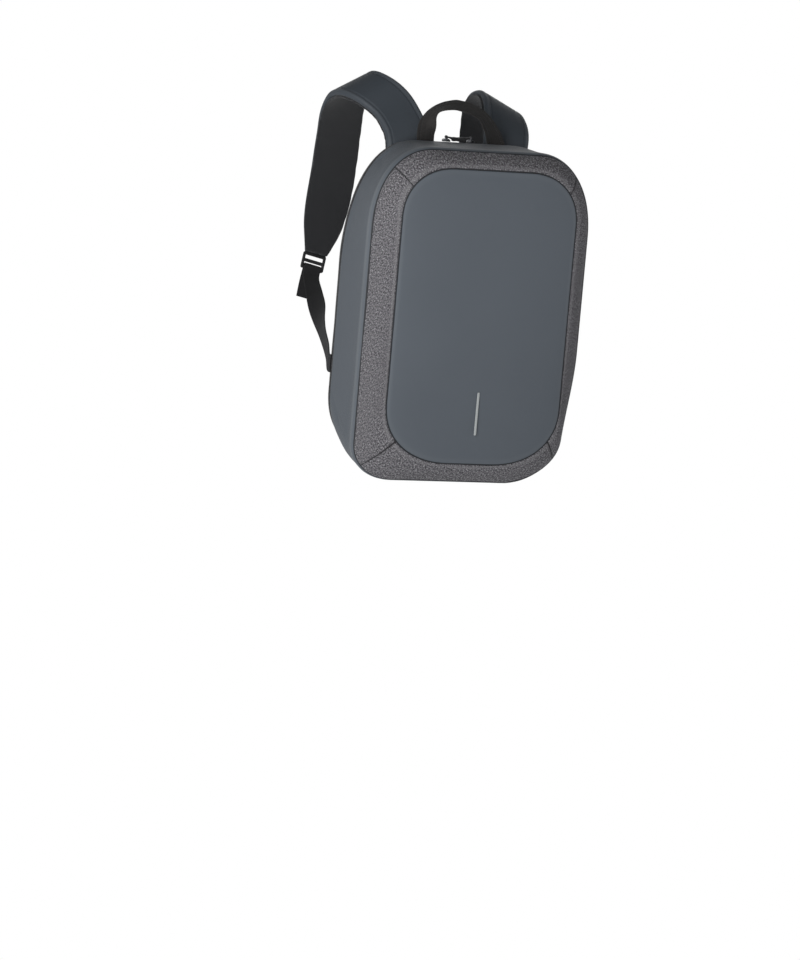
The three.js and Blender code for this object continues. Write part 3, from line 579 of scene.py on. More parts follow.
# What repeats along a line
def row_tree(name, unit_kind):
    """Units laid at a pitch along lines and turned with them, as one mesh."""
    tree = bpy.data.node_groups.new(name, "GeometryNodeTree")
    sockets = {}
    for label, kind in (
        ("Lines", "NodeSocketGeometry"), ("Pitch", "NodeSocketFloat"),
        ("Length", "NodeSocketFloat"), ("Thickness", "NodeSocketFloat"),
        ("Uneven", "NodeSocketFloat"), ("Seed", "NodeSocketInt"), ("Finish", "NodeSocketMaterial"),
    ):
        socket = tree.interface.new_socket(label, in_out="INPUT", socket_type=kind)
        sockets[label] = socket.identifier
    tree.interface.new_socket("Row", in_out="OUTPUT", socket_type="NodeSocketGeometry")

    def add(kind, **settings):
        made = tree.nodes.new(kind)
        for key, value in settings.items():
            setattr(made, key, value)
        return made

    link = tree.links.new
    given, result = add("NodeGroupInput"), add("NodeGroupOutput")
    curve = add("GeometryNodeMeshToCurve")
    spaced = add("GeometryNodeResampleCurve", mode="LENGTH")
    heading = add("GeometryNodeInputTangent")
    turned = add("FunctionNodeAlignRotationToVector", axis="X")
    laid = add("GeometryNodeInstanceOnPoints")
    sized = add("FunctionNodeRandomValue", data_type="FLOAT")
    least = add("ShaderNodeMath", operation="SUBTRACT")
    one, whole = add("GeometryNodeTransform"), add("ShaderNodeCombineXYZ")
    solid, dressed = add("GeometryNodeRealizeInstances"), add("GeometryNodeSetMaterial")
    lies_along = unit_kind == "stitch"  # a tooth lies across its line
    unit_mesh = add("GeometryNodeMeshUVSphere")
    unit_mesh.inputs["Segments"].default_value = 6 if lies_along else 8
    unit_mesh.inputs["Rings"].default_value = 5
    unit_mesh.inputs["Radius"].default_value = 0.5
    order = ("Length", "Thickness") if lies_along else ("Thickness", "Length")
    link(given.outputs["Lines"], curve.inputs["Mesh"])
    link(curve.outputs["Curve"], spaced.inputs["Curve"])
    link(given.outputs["Pitch"], spaced.inputs["Length"])
    for axis, label in enumerate((*order, "Thickness")):
        link(given.outputs[label], whole.inputs[axis])
    link(unit_mesh.outputs["Mesh"], one.inputs["Geometry"])
    link(whole.outputs[0], one.inputs["Scale"])
    link(heading.outputs[0], turned.inputs["Vector"])
    link(spaced.outputs["Curve"], laid.inputs["Points"])
    link(one.outputs["Geometry"], laid.inputs["Instance"])
    link(turned.outputs["Rotation"], laid.inputs["Rotation"])
    least.inputs[0].default_value = 1.0
    link(given.outputs["Uneven"], least.inputs[1])
    link(least.outputs[0], sized.inputs[2])
    sized.inputs[3].default_value = 1.0
    link(given.outputs["Seed"], sized.inputs["Seed"])
    link(sized.outputs[1], laid.inputs["Scale"])
    link(laid.outputs["Instances"], solid.inputs["Geometry"])
    link(solid.outputs["Geometry"], dressed.inputs["Geometry"])
    link(given.outputs["Finish"], dressed.inputs["Material"])
    link(dressed.outputs["Geometry"], result.inputs["Row"])
    return tree, sockets


ROWS = {kind: row_tree(f"{kind}_rows", kind) for kind in ("stitch", "tooth")}


def laid_along(name, kind, lines, pitch, length, thickness, finish, seed=1, uneven=0.1):
    """One plain mesh of stitches or zip teeth along lines of points."""
    points = np.concatenate(lines) * MM
    edges, first = [], 0
    for line in lines:
        edges += [(first + i, first + i + 1) for i in range(len(line) - 1)]
        first += len(line)
    mesh = bpy.data.meshes.new(name + "_lines")
    mesh.from_pydata(points.tolist(), edges, [])
    carrier = bpy.data.objects.new(name + "_lines", mesh)
    bpy.context.scene.collection.objects.link(carrier)
    tree, sockets = ROWS[kind]
    modifier = carrier.modifiers.new("rows", "NODES")
    modifier.node_group = tree
    for label, value in (
        ("Pitch", pitch * MM), ("Length", length * MM), ("Thickness", thickness * MM),
        ("Uneven", uneven), ("Seed", seed), ("Finish", finish),
    ):
        modifier[sockets[label]] = value
    bpy.context.view_layer.update()
    graph = bpy.context.evaluated_depsgraph_get()
    made_mesh = bpy.data.meshes.new_from_object(carrier.evaluated_get(graph))
    carrier.modifiers.clear()
    bpy.data.objects.remove(carrier)
    made = bpy.data.objects.new(name, made_mesh)
    bpy.context.scene.collection.objects.link(made)
    made_mesh.polygons.foreach_set("use_smooth", [True] * len(made_mesh.polygons))
    return placed(made, finish)


# Front panel, welt, frame and piping
def crown(breadth):
    return (1 - np.minimum(1, breadth) ** 2.4) ** 0.62


def front_panel():
    edge = panel_outline.grown(-WELT_SEEN).ring(0)

    def ring(breadth, y):
        row = edge.copy()
        row[:, 0] *= breadth
        row[:, 1] = y
        row[:, 2] = PANEL_LIFT + (edge[:, 2] - PANEL_LIFT) * breadth
        return row

    breadths = 1 - (1 - np.linspace(0.03, 1, 34)) ** 1.7
    rows = [ring(b, PANEL_EDGE_Y - PANEL_CROWN * crown(b)) for b in breadths]
    rows += [ring(1, PANEL_EDGE_Y + drop) for drop in (0.9, 2.2, 3.6)]
    rows += [ring(b, PANEL_EDGE_Y + PANEL_PAD - PANEL_CROWN * crown(b)) for b in (0.97, 0.8, 0.4)]
    made = piece("front_panel_cover", lofted(rows), slate, ["front_panel"],
                 flat_cloth=True)
    points = places(made)
    # painted highlight: a pale band just inside the panel's rolled edge
    rubbed = np.zeros(len(points))
    size = len(edge)
    for i, b in enumerate(breadths):
        rubbed[i * size:(i + 1) * size] = ease(b, 0.955, 0.985) * (1 - ease(b, 0.99, 1)) * 0.2
    mark(made, "rubbed", rubbed)
    rumple(made, 0.55, 95, 1, lambda p: ease(-p[:, 1], 155, 156.5))


def trim_ring(name, outline, y, radius, node, sides=10):
    turns = np.linspace(0, 2 * math.pi, sides, endpoint=False)
    rows = [outline.grown(radius * math.cos(t)).ring(y + radius * math.sin(t)) for t in turns]
    body = lofted(np.array(rows).transpose(1, 0, 2), tube=True)
    return piece(name, body, piping, [node])


def frame_strips():
    outer = front_outline.points()
    inner = panel_outline.grown(WELT_SEEN).points()
    shares = 0.5 - 0.5 * np.cos(np.pi * np.linspace(0, 1, 26))
    slant = FRAME_WALL * math.sqrt(2)

    def at(ring, place):
        i = int(math.floor(place))
        t = place - i
        return ring[i % RING_COUNT] * (1 - t) + ring[(i + 1) % RING_COUNT] * t

    for name, first, last in (
        ("frame_top", TOP_RIGHT_MITRE, TOP_LEFT_MITRE),
        ("frame_left", TOP_LEFT_MITRE, BASE_LEFT_MITRE),
        ("frame_bottom", BASE_LEFT_MITRE, BASE_RIGHT_MITRE),
        ("frame_right", BASE_RIGHT_MITRE, TOP_RIGHT_MITRE + RING_COUNT),
    ):
        near = np.array([0, 0.08, 0.18, 0.32, 0.5, 0.75])
        stops = np.concatenate([first + near, np.arange(first + 1, last), last - near[::-1]])
        rows, rubbed, seam = [], [], []
        for place in stops:
            out, inn = at(outer, place), at(inner, place)
            breadth = np.linalg.norm(out - inn)
            spacing = np.linalg.norm(at(outer, place + 0.5) - at(outer, place - 0.5))
            to_end = min(place - first, last - place) * spacing
            flat = out + (inn - out) * shares[:, None]
            from_seam = np.minimum(shares, 1 - shares) * breadth
            dip = 0.8 * np.exp(-((from_seam / 1.1) ** 2)) + 1.3 * math.exp(-((to_end / 1.2) ** 2))
            puff = 0.8 * np.sin(np.pi * shares) * float(ease(to_end, 0, 16))
            face = FRAME_REAR_Y - FRAME_DEPTH * (shares + FRAME_BULGE * np.sin(np.pi * shares))
            inside = face[1:][::-1][::5] + slant
            front = np.stack([flat[:, 0], face + dip - puff, flat[:, 1]], 1)
            back = np.stack([flat[1:][::-1][::5, 0], inside, flat[1:][::-1][::5, 1]], 1)
            ends = GAP / 2 * (1 if place < (first + last) / 2 else -1)
            if to_end < 1e-6:
                along = unit(at(outer, place + ends) - at(outer, place))
                front[:, [0, 2]] += along * GAP / 2
                back[:, [0, 2]] += along * GAP / 2
            rows.append(np.concatenate([front, back]))
            # painted highlight: a lighter ridge about 4 mm in from the frame's outer edge
            ridge = np.exp(-(((1 - shares) * breadth - 4.2) / 2.2) ** 2)
            rubbed.append(np.concatenate([ridge, np.zeros(len(back))]))
            # painted shade: the mitred ends of each strip are darkened
            seam.append(np.full(len(rows[-1]), math.exp(-((to_end / 0.9) ** 2))))
        made = piece(name + "_cloth", lofted(rows, ends="flat"), heather, [name],
                     flat_cloth=name in ("frame_top", "frame_bottom"))
        mark(made, "rubbed", np.concatenate(rubbed))
        mark(made, "seam", np.concatenate(seam))
        rumple(made, 0.9, 60, 3, lambda p: np.ones(len(p)))


# Gusset
GUSSET_STATIONS = (
    (0, -0.1, 0, 0, 0),
    (0.012, 0.45, 0, 0.6, 0),
    (0.04, 0.85, 0.02, 0.95, 0),
    (0.08, 1, 0.05, 1, 0),
    (0.16, 0.85, 0.12, 1, 0),
    (0.3, 0.5, 0.28, 1, 0),
    (0.5, 0.25, 0.52, 1, 0),
    (0.7, 0.12, 0.78, 1, 0.1),
    (0.88, 0.04, 0.95, 1, 0.6),
    (0.97, 0, 1, 1, 0.95),
    (1, -0.45, 1, 1, 1.1),
)


def gusset_ring(share, inset):
    back, bulge, shape, drop, lift = (smooth_read(GUSSET_STATIONS, c, share) for c in range(5))
    if inset:
        bulge = max(0, bulge)
    outline = front_outline.towards(rear_outline, shape).grown(bulge * GUSSET_BULGE)
    base_front, base_rear = front_outline.sizes[2], rear_outline.sizes[2]
    base = base_front - BASE_DROP * drop
    outline = outline.based_at(base + (base_rear - base) * lift).grown(-inset)
    return outline.ring(GUSSET_FRONT_Y + (GUSSET_REAR_Y - GUSSET_FRONT_Y) * back)


def crease(points, start, end, width, depth):
    """How far a crease from start to end pulls each point in, least at its ends."""
    a, b = np.array(start, float), np.array(end, float)
    along = np.clip((points - a) @ (b - a) / ((b - a) @ (b - a)), 0, 1)
    off = np.linalg.norm(points - (a + along[:, None] * (b - a)), axis=1)
    return depth * np.exp(-((off / width) ** 2)) * np.sin(np.pi * along) ** 0.6


def side_gusset():
    shares = np.linspace(0, 1, 64)
    rows = [gusset_ring(s, 0) for s in shares]
    rows += [gusset_ring(s, GUSSET_WALL) for s in np.linspace(1, 0, 9)]
    made = piece("side_gusset_cover", lofted(rows, tube=True), slate,
                 ["side_gusset"])
    rumple(made, 2.2, 120, 5, lambda p: ease(p[:, 1], -116, -96) * ease(-p[:, 1], 22, 40))
    rumple(made, 0.7, 38, 6, lambda p: ease(p[:, 1], -117, -104) * ease(-p[:, 1], 21, 34))
    points = places(made)
    pull = (
        crease(points, (-152, -116, -178), (-139, -60, -205), 4, 1.6)
        + crease(points, (-143, -117, -206), (-120, -66, -224), 4.5, 1.4)
        + crease(points, (-158, -22, -120), (-156, -80, -168), 7, 1.2)
        + crease(points, (-128, -35, 196), (-107, -47, 217), 3.4, 3.6)
        + crease(points, (-118, -36, 205), (-131, -92, 186), 6, 1.4)
        + crease(points, (140, -21, 196), (136, -62, 186), 5, 1.6)
        + crease(points, (152, -116, -150), (140, -50, -176), 6, 1.8)
    )
    set_places(made, points - facings(made) * pull[:, None])
    back = (points[:, 1] - GUSSET_FRONT_Y) / (GUSSET_REAR_Y - GUSSET_FRONT_Y)
    # painted highlight: a lighter ridge along the gusset just behind the piping
    mark(made, "rubbed", np.exp(-(((back - 0.06) / 0.035) ** 2)))


# Zip band and back panel
def zip_band():
    band = rear_outline.grown(-ZIP_BAND_INSET)
    inner = band.grown(-ZIP_BAND_WALL)
    middle = (ZIP_FRONT_Y + ZIP_REAR_Y) / 2
    rows = [band.grown(-0.25).ring(ZIP_FRONT_Y), band.ring(ZIP_FRONT_Y + 0.5)]
    rows += [band.grown(lift).ring(y) for lift, y in (
        (-0.1, middle - 1.7), (-0.3, middle), (-0.1, middle + 1.7),
    )]
    rows += [band.ring(ZIP_REAR_Y - 0.5), band.grown(-0.25).ring(ZIP_REAR_Y)]
    rows += [inner.ring(ZIP_REAR_Y), inner.ring(ZIP_FRONT_Y)]
    piece("zip_tape_band", lofted(rows, tube=True), tape, ["zip_band"])
    chain = band.grown(0.35).ring(middle)
    start = BASE_LEFT_MITRE + CORNER_STEPS // 2
    end = BASE_RIGHT_MITRE - CORNER_STEPS // 2
    open_run = np.concatenate([chain[end:], chain[:start]])
    laid_along("zip_teeth", "tooth", [open_run + (0, -0.95, 0), open_run + (0, 0.95, 0)],
               pitch=1.7, length=2.3, thickness=1.25, finish=plastic,
               seed=3, uneven=0.02)


PAD_TOP, PAD_SPLIT, PAD_BASE = 168, -62, -176


def back_relief(x, z):
    """How deep the back panel's face lies behind its outermost level: a bay for each pad."""
    upper = ease(z, PAD_SPLIT + 5, PAD_SPLIT + 15) * ease(-z, -PAD_TOP - 2, -PAD_TOP + 10)
    lower = ease(z, PAD_BASE - 4, PAD_BASE + 8) * ease(-z, -PAD_SPLIT + 5, -PAD_SPLIT + 15)
    across_upper = ease(-np.abs(x), -124, -112)
    across_lower = ease(-np.abs(x), -112, -98)
    return 6.5 * np.maximum(upper * across_upper, lower * across_lower)


def back_panel():
    rim = ((0.15, 1), (0.04, 0.97), (0, 0.88), (0, 0.66), (0, 0.45), (0.05, 0.28), (0.14, 0.16),
           (0.3, 0.07), (0.5, 0.03), (0.75, 0.01), (1, 0))
    rows = [back_outline.grown(-inset * BACK_PANEL_ROLL).ring(-depth * BACK_PAD)
            for inset, depth in rim]
    edge = back_outline.grown(-BACK_PANEL_ROLL).ring(0)
    for breadth in np.linspace(0.98, 0.02, 44):
        row = edge.copy()
        row[:, 0] *= breadth
        row[:, 2] *= breadth
        row[:, 1] = -back_relief(row[:, 0], row[:, 2])
        rows.append(row)
    made = piece("back_panel_cover", lofted(rows), black_mesh, ["back_panel"],
                 flat_cloth=True)
    rumple(made, 0.8, 60, 9)


def pad_body(side, top, base, level, centre, radius, thick):
    """A flat pad with rounded corners and rounded edges, before it swells."""
    outline = Outline(side, top, base, radius, radius, radius, radius, (45, 45), 0)
    rows = []
    rim = ((2.6, 0), (0.8, 0.6), (0, 2))
    for inset, y in (*rim, *((inset, thick - y) for inset, y in rim[::-1])):
        rows.append(outline.grown(-inset).ring(level + y) + (centre, 0, 0))
    return lofted(rows)


def swollen(made, cap, pressure=4.0, voxel=0.005, frames=20):
    """The pad after its cover is blown up, scaled so that no point goes further than the cap."""
    scene = bpy.context.scene
    remesh = made.modifiers.new("even", "REMESH")
    remesh.mode, remesh.voxel_size = "VOXEL", voxel
    graph = bpy.context.evaluated_depsgraph_get()
    even = bpy.data.meshes.new_from_object(made.evaluated_get(graph))
    made.modifiers.clear()
    made.data = even
    start = places(made)
    cloth = made.modifiers.new("cover", "CLOTH")
    cloth.settings.use_pressure = True
    cloth.settings.uniform_pressure_force = pressure
    cloth.settings.effector_weights.gravity = 0
    cloth.point_cache.frame_start, cloth.point_cache.frame_end = 1, frames
    for number in range(1, frames + 1):
        scene.frame_set(number)
    graph = bpy.context.evaluated_depsgraph_get()
    blown = bpy.data.meshes.new_from_object(made.evaluated_get(graph))
    flat = np.zeros(len(blown.vertices) * 3)
    blown.vertices.foreach_get("co", flat)
    made.modifiers.clear()
    scene.frame_set(1)
    move = flat.reshape(-1, 3) / MM - start
    far = np.linalg.norm(move, axis=1)
    set_places(made, start + move * (cap / max(cap, far.max())))
    made.modifiers.new("soft", "SUBSURF").levels = 1
    graph = bpy.context.evaluated_depsgraph_get()
    made.data = bpy.data.meshes.new_from_object(made.evaluated_get(graph))
    made.modifiers.clear()
    made.data.polygons.foreach_set("use_smooth", [True] * len(made.data.polygons))


def lay_flat_cloth(made):
    """Cloth coordinates straight from the place, for a pad seen from behind."""
    for layer in list(made.data.uv_layers):
        made.data.uv_layers.remove(layer)
    layer = made.data.uv_layers.new(name="Cloth")
    corners = np.zeros(len(made.data.loops), int)
    made.data.loops.foreach_get("vertex_index", corners)
    layer.data.foreach_set("uv", places(made)[corners][:, [0, 2]].ravel())


def back_pads():
    specs = (
        ("back_pad_left", 47, PAD_TOP - 8, PAD_SPLIT + 13, -62, 30),
        ("back_pad_right", 47, PAD_TOP - 8, PAD_SPLIT + 13, 62, 30),
        ("lumbar_pad", 96, PAD_SPLIT - 14, PAD_BASE + 6, 0, 34),
    )
    for name, side, top, base, centre, radius in specs:
        body = pad_body(side, top, base, -7.5, centre, radius, 7.5)
        made = piece(name, body, black_mesh, flat_cloth=True)
        swollen(made, 5)
        lay_flat_cloth(made)
        made.data.materials.clear()
        made.data.materials.append(black_mesh)


# Shoulder straps
STRAP_STATIONS = {
    -1: (
        (0.54, 0.014, -0.62, 0, 0.94, 0.4),
        (0.54, 0.018, -0.3, 3, 0.98, 0.5),
        (0.545, 0.035, 0.0, 10, 0.97, 0.8),
        (0.575, 0.1, 0.3, 20, 0.94, 1),
        (0.675, 0.215, 0.66, 30, 0.92, 1),
        (0.83, 0.34, 0.9, 33, 0.92, 1),
        (0.935, 0.5, 0.97, 32, 0.95, 1),
        (0.945, 0.68, 0.83, 27, 0.98, 1),
        (0.925, 0.84, 0.43, 18, 1, 1),
        (0.9, 0.94, -0.14, 12, 1, 1),
        (0.895, 0.985, -0.78, 8, 1, 1),
        (0.92, 1, -1.42, 4, 1, 1),
        (0.98, 0.975, -2.07, 0, 0.86, 1),
        (1.05, 0.925, -2.6, -4, 0.5, 0.6),
    ),
    1: (
        (0.57, 0.014, -0.62, 0, 0.96, 0.4),
        (0.57, 0.018, -0.3, -2, 1.02, 0.5),
        (0.575, 0.035, 0.0, 0, 1.03, 0.8),
        (0.61, 0.1, 0.28, 6, 1.04, 1),
        (0.64, 0.215, 0.55, 18, 1.05, 1),
        (0.665, 0.34, 0.7, 24, 1.05, 1),
        (0.68, 0.49, 0.74, 27, 1.04, 1),
        (0.695, 0.67, 0.64, 25, 1.02, 1),
        (0.74, 0.83, 0.33, 19, 1, 1),
        (0.785, 0.935, -0.2, 12, 1, 1),
        (0.85, 0.98, -0.82, 8, 1, 1),
        (0.9, 0.99, -1.45, 4, 1, 1),
        (0.97, 0.965, -2.08, 0, 0.86, 1),
        (1.05, 0.915, -2.6, -4, 0.5, 0.6),
    ),
}
SIDES = ((-1, "left"), (1, "right"))


def strap_at(sign, share):
    """Middle, direction along, across and outward, width and thicknesses of a strap."""
    stations = STRAP_STATIONS[sign]
    root_y = GAP + STRAP_PAD * stations[0][5] / 2

    def point(at):
        return np.array([
            sign * STRAP_SPREAD * smooth_read(stations, 0, at),
            root_y + (STRAP_REACH - root_y) * (smooth_read(stations, 1, at) - stations[0][1]),
            TOP_Z + STRAP_RISE * smooth_read(stations, 2, at),
        ])

    along = unit(point(min(1, share + 0.002)) - point(max(0, share - 0.002)))
    roll = math.radians(smooth_read(stations, 3, share))
    across = np.array([sign * math.cos(roll), 0, -math.sin(roll)])
    across = unit(across - along * (across @ along))
    thick = smooth_read(stations, 5, share)
    return {
        "middle": point(share), "along": along, "across": across,
        "outward": np.cross(along, across) * -sign,
        "width": STRAP_WIDTH * smooth_read(stations, 4, share),
        "pad": STRAP_PAD * thick, "lining": LINING_THICK * min(1, thick + 0.2),
    }


STRAP_SEAM = 0.74  # share of the half width where the rolled edge is sewn down


def strap_section():
    """The cover across: a flat crown, a sewn groove each side and a rolled edge beyond it."""
    top = np.sin(np.linspace(1, -1, 61) * np.pi / 2)
    off = np.abs(top)
    height = 1 - 0.1 * off**2
    height = height - 0.2 * np.exp(-(((off - STRAP_SEAM) / 0.03) ** 2))
    rim = np.clip((off - 0.86) / 0.14, 0, 1)
    height = height - 1.3 * (1 - np.sqrt(1 - np.minimum(rim, 0.9999) ** 2))
    under = np.linspace(-0.96, 0.96, 11)
    floor = np.where(np.abs(under) > 0.9, -0.8, -1.0)
    return np.concatenate([np.stack([top, height], 1), np.stack([under, floor], 1)])


def shoulder_strap(sign, side_name):
    profile = strap_section()
    lining_profile = np.array([
        (-1.0, 0.1), (-0.97, 0.8), (-0.86, 1), (-0.43, 1), (0, 1), (0.43, 1), (0.86, 1),
        (0.97, 0.8), (1.0, 0.1), (0.985, -0.7), (0.93, -1), (0.5, -1), (0, -1), (-0.5, -1),
        (-0.93, -1), (-0.985, -0.7),
    ])
    cover, lining, seams = [], [], {-1: [], 1: []}
    for share in np.linspace(0, 1, 150):
        at = strap_at(sign, share)
        half, lift = at["width"] / 2, at["pad"] / 2
        cover.append(at["middle"] + np.outer(profile[:, 0], at["across"] * half)
                     + np.outer(profile[:, 1], at["outward"] * lift))
        ripple = 1 + 0.01 * math.sin(share * 150 + sign) * math.sin(share * 47)
        under = at["middle"] - at["outward"] * (lift + at["lining"] / 2)
        lining.append(under + np.outer(lining_profile[:, 0], at["across"] * (half + 0.9) * ripple)
                      + np.outer(lining_profile[:, 1], at["outward"] * at["lining"] / 2))
        for edge in seams:
            seams[edge].append(at["middle"] + at["across"] * half * STRAP_SEAM * edge
                               + at["outward"] * lift * 0.76)
    name = f"shoulder_strap_{side_name}"
    made = piece(name + "_cover", lofted(cover, ends="flat"), strap_slate, [name])
    # painted highlight along each rolled edge of the strap cover
    rolled_edge_highlight = np.exp(-(((np.abs(profile[:, 0]) - 0.87) / 0.06) ** 2)) * (profile[:, 1] > -0.5)
    mark(made, "rubbed", np.tile(rolled_edge_highlight, len(cover)))
    rumple(made, 1.3, 46, 11 + sign, lambda p: 0.35 + 0.65 * ease(-p[:, 2], -285, -235))
    piece(f"strap_mesh_{side_name}", lofted(lining, ends="flat"), black_mesh,
          [f"strap_lining_{side_name}"])
    return [np.array(line[2:-3]) for line in seams.values()]


# Webbing: carry handle and lower webbing
HANDLE_STATIONS = (
    (-1, 0, 0),
    (-1, 0.27, 5),
    (-0.96, 0.52, 40),
    (-0.895, 0.72, 68),
    (-0.79, 0.86, 80),
    (-0.61, 0.955, 78),
    (-0.38, 1.01, 68),
    (-0.11, 1.02, 58),
    (0.17, 0.965, 56),
    (0.4, 0.865, 52),
    (0.57, 0.75, 45),
    (0.7, 0.6, 36),
    (0.83, 0.4, 25),
    (0.93, 0.2, 12),
    (1, 0, 0),
)


def band_section(grooves=(), samples=33):
    """A flat band across with round edges, as thick at its edges as in the middle."""
    across = np.sin(np.linspace(1, -1, samples) * np.pi / 2)
    rim = np.clip((np.abs(across) - 0.93) / 0.07, 0, 1)
    height = np.sqrt(1 - np.minimum(rim, 1) ** 2)
    for place, width, depth in grooves:
        height = height - depth * np.exp(-(((across - place) / width) ** 2)) * height
    face = np.stack([across, height], 1)
    under = face[1:-1][::-1] * (1, -1)
    return np.concatenate([face, under])


def top_handle():
    foot_z = back_outline.sizes[1] + GAP
    profile = band_section(((0.62, 0.05, 0.45), (-0.62, 0.05, 0.45), (0.1, 0.04, 0.3)))

    def point(share):
        return np.array([
            HANDLE_X + HANDLE_SPAN / 2 * smooth_read(HANDLE_STATIONS, 0, share),
            HANDLE_Y,
            foot_z + HANDLE_RISE * smooth_read(HANDLE_STATIONS, 1, share),
        ])

    rows, seams = [], {-1: [], 1: []}
    for share in np.linspace(0, 1, 140):
        along = unit(point(min(1, share + 0.01)) - point(max(0, share - 0.01)))
        radial = np.array([-along[2], 0, along[0]])
        if share in (0, 1):
            radial = np.array([-1.0 if share == 0 else 1.0, 0, 0])
        turn = math.radians(smooth_read(HANDLE_STATIONS, 2, share))
        across = unit(radial * math.cos(turn) + np.array([0, math.sin(turn), 0]))
        up = unit(np.cross(along, across))
        half, lift = WEBBING_WIDTH / 2, HANDLE_THICK / 2
        rows.append(point(share) + np.outer(profile[:, 0], across * half)
                    + np.outer(profile[:, 1], up * lift))
        for edge in seams:
            for face in (-1, 1):
                sewn = point(share) + across * half * 0.62 * edge
                seams[edge].append(sewn + up * lift * 0.9 * face)
    rows = np.array(rows)
    made = piece("handle_webbing_loop", lofted(rows, ends="flat"), handle_webbing,
                 ["top_handle"])
    rumple(made, 0.7, 14, 21)
    return [np.array(line)[face::2] for line in seams.values() for face in (0, 1)]


def smooth_path(points):
    """A curve through the points, tight where they lie close together."""
    points = [np.array(p, float) for p in points]
    before = 2 * points[0] - points[1]
    after = 2 * points[-1] - points[-2]
    line = [before, *points, after]

    def at(share):
        place = min(share, 1) * (len(points) - 1)
        i = min(len(points) - 2, int(place))
        t = place - i
        p = line[i:i + 4]
        gap = [max(np.linalg.norm(p[k + 1] - p[k]) ** 0.5, 1e-4) for k in range(3)]
        out = ((p[1] - p[0]) / gap[0] - (p[2] - p[0]) / (gap[0] + gap[1])
               + (p[2] - p[1]) / gap[1]) * gap[1]
        into = ((p[2] - p[1]) / gap[1] - (p[3] - p[1]) / (gap[1] + gap[2])
                + (p[3] - p[2]) / gap[2]) * gap[1]
        return (
            (2 * t**3 - 3 * t**2 + 1) * p[1] + (t**3 - 2 * t**2 + t) * out
            + (3 * t**2 - 2 * t**3) * p[2] + (t**3 - t**2) * into
        )

    return at


BUCKLE_BAR, BUCKLE_SLOT, BUCKLE_THICK = 4.5, 5.5, 4
WEBBING_TAIL, WEBBING_SAG = 45, 5
ANCHOR_Z, ANCHOR_LAP = -86, 9


def lower_webbing(sign, side_name):
    """From the bag's side under the arm, up behind the buckle, round its bar and down as a tail."""
    end = strap_at(sign, 1)
    seat = end["middle"] + end["along"] * GAP
    clear = BUCKLE_THICK / 2 + GAP + WEBBING_THICK / 2
    bar_top = -2 * (BUCKLE_BAR + BUCKLE_SLOT)
    bar_base = bar_top - BUCKLE_BAR

    def in_buckle(up, out):
        return seat - end["along"] * up + end["outward"] * out

    side_x = sign * (back_outline.sizes[0] + GAP + WEBBING_THICK / 2)
    anchor = np.array([side_x, -ANCHOR_LAP, ANCHOR_Z])
    behind = in_buckle(bar_base - 2 * BUCKLE_BAR, -clear - WEBBING_THICK)
    path = [anchor, (side_x, 0, ANCHOR_Z)]
    for share in (0.16, 0.34, 0.52, 0.7, 0.86):
        sag = (0, 0, -WEBBING_SAG * math.sin(math.pi * share))
        path.append(anchor + (behind - anchor) * share + sag)
    path += [behind, in_buckle(bar_base, -clear)]
    for turn in np.radians([-90, -45, 0, 45, 90]):
        path.append(in_buckle(bar_top + clear * math.cos(turn), clear * math.sin(turn)))
    path += [
        in_buckle(bar_base, clear),
        in_buckle(bar_top - WEBBING_TAIL / 2, clear + WEBBING_THICK),
        in_buckle(bar_top - WEBBING_TAIL, clear),
    ]
    at = smooth_path(path)
    profile = band_section(((0.8, 0.05, 0.3), (-0.8, 0.05, 0.3)), 21)
    rows = []
    for share in np.linspace(0, 1, 200):
        along = unit(at(min(1, share + 0.001)) - at(max(0, share - 0.001)))
        twist = float(ease(share, 0.15, 0.45))
        across = np.array([0, 0, -1.0]) * (1 - twist) + end["across"] * twist
        across = unit(across - along * (across @ along))
        up = np.cross(along, across)
        rows.append(at(share) + np.outer(profile[:, 0], across * WEBBING_WIDTH / 2)
                    + np.outer(profile[:, 1], up * WEBBING_THICK / 2))
    piece(f"lower_webbing_{side_name}_band", lofted(rows, ends="flat"), black_webbing,
          [f"lower_webbing_{side_name}"])


# Hard pieces, from their solids
def softened(name, node, bevel, finish, rides="bag"):
    """A copy of a hard piece's solid with its edges rounded."""
    made = bpy.data.objects.new(name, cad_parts[node].data.copy())
    bpy.context.scene.collection.objects.link(made)
    work = bmesh.new()
    work.from_mesh(made.data)
    bmesh.ops.remove_doubles(work, verts=work.verts, dist=2e-5)
    bmesh.ops.dissolve_limit(
        work, angle_limit=math.radians(1.5), verts=work.verts, edges=work.edges
    )
    work.to_mesh(made.data)
    work.free()
    rounding = made.modifiers.new("edges", "BEVEL")
    rounding.width, rounding.segments = bevel * MM, 3
    rounding.limit_method, rounding.angle_limit = "ANGLE", math.radians(34)
    graph = bpy.context.evaluated_depsgraph_get()
    made.data = bpy.data.meshes.new_from_object(made.evaluated_get(graph))
    made.modifiers.clear()
    made.data.polygons.foreach_set("use_smooth", [True] * len(made.data.polygons))
    made.data.set_sharp_from_angle(angle=math.radians(40))
    return placed(made, finish, [node], rides)


def thickened(made, pin_x):
    """A pull tab moulded thicker underneath, away from its pin."""
    points = places(made)
    under = facings(made)[:, 2] < 0.1
    points[:, 2] -= 1.5 * ease(np.abs(points[:, 0] - pin_x), 5, 9) * under
    set_places(made, points)


def hard_pieces():
    softened("reflective_strip", "reflective_bar", 0.25, film)
    for sign, side_name in SIDES:
        softened(f"ladder_buckle_{side_name}", f"strap_buckle_{side_name}", 0.7, plastic)
        softened(f"slider_{side_name}", f"zip_slider_{side_name}", 0.3, metal)
        tab = softened(f"tab_{side_name}", f"pull_tab_{side_name}", 0.45, plastic,
                       f"{side_name}_pull")
        thickened(tab, SLIDER_X + sign * SLIDER_SPACING / 2)


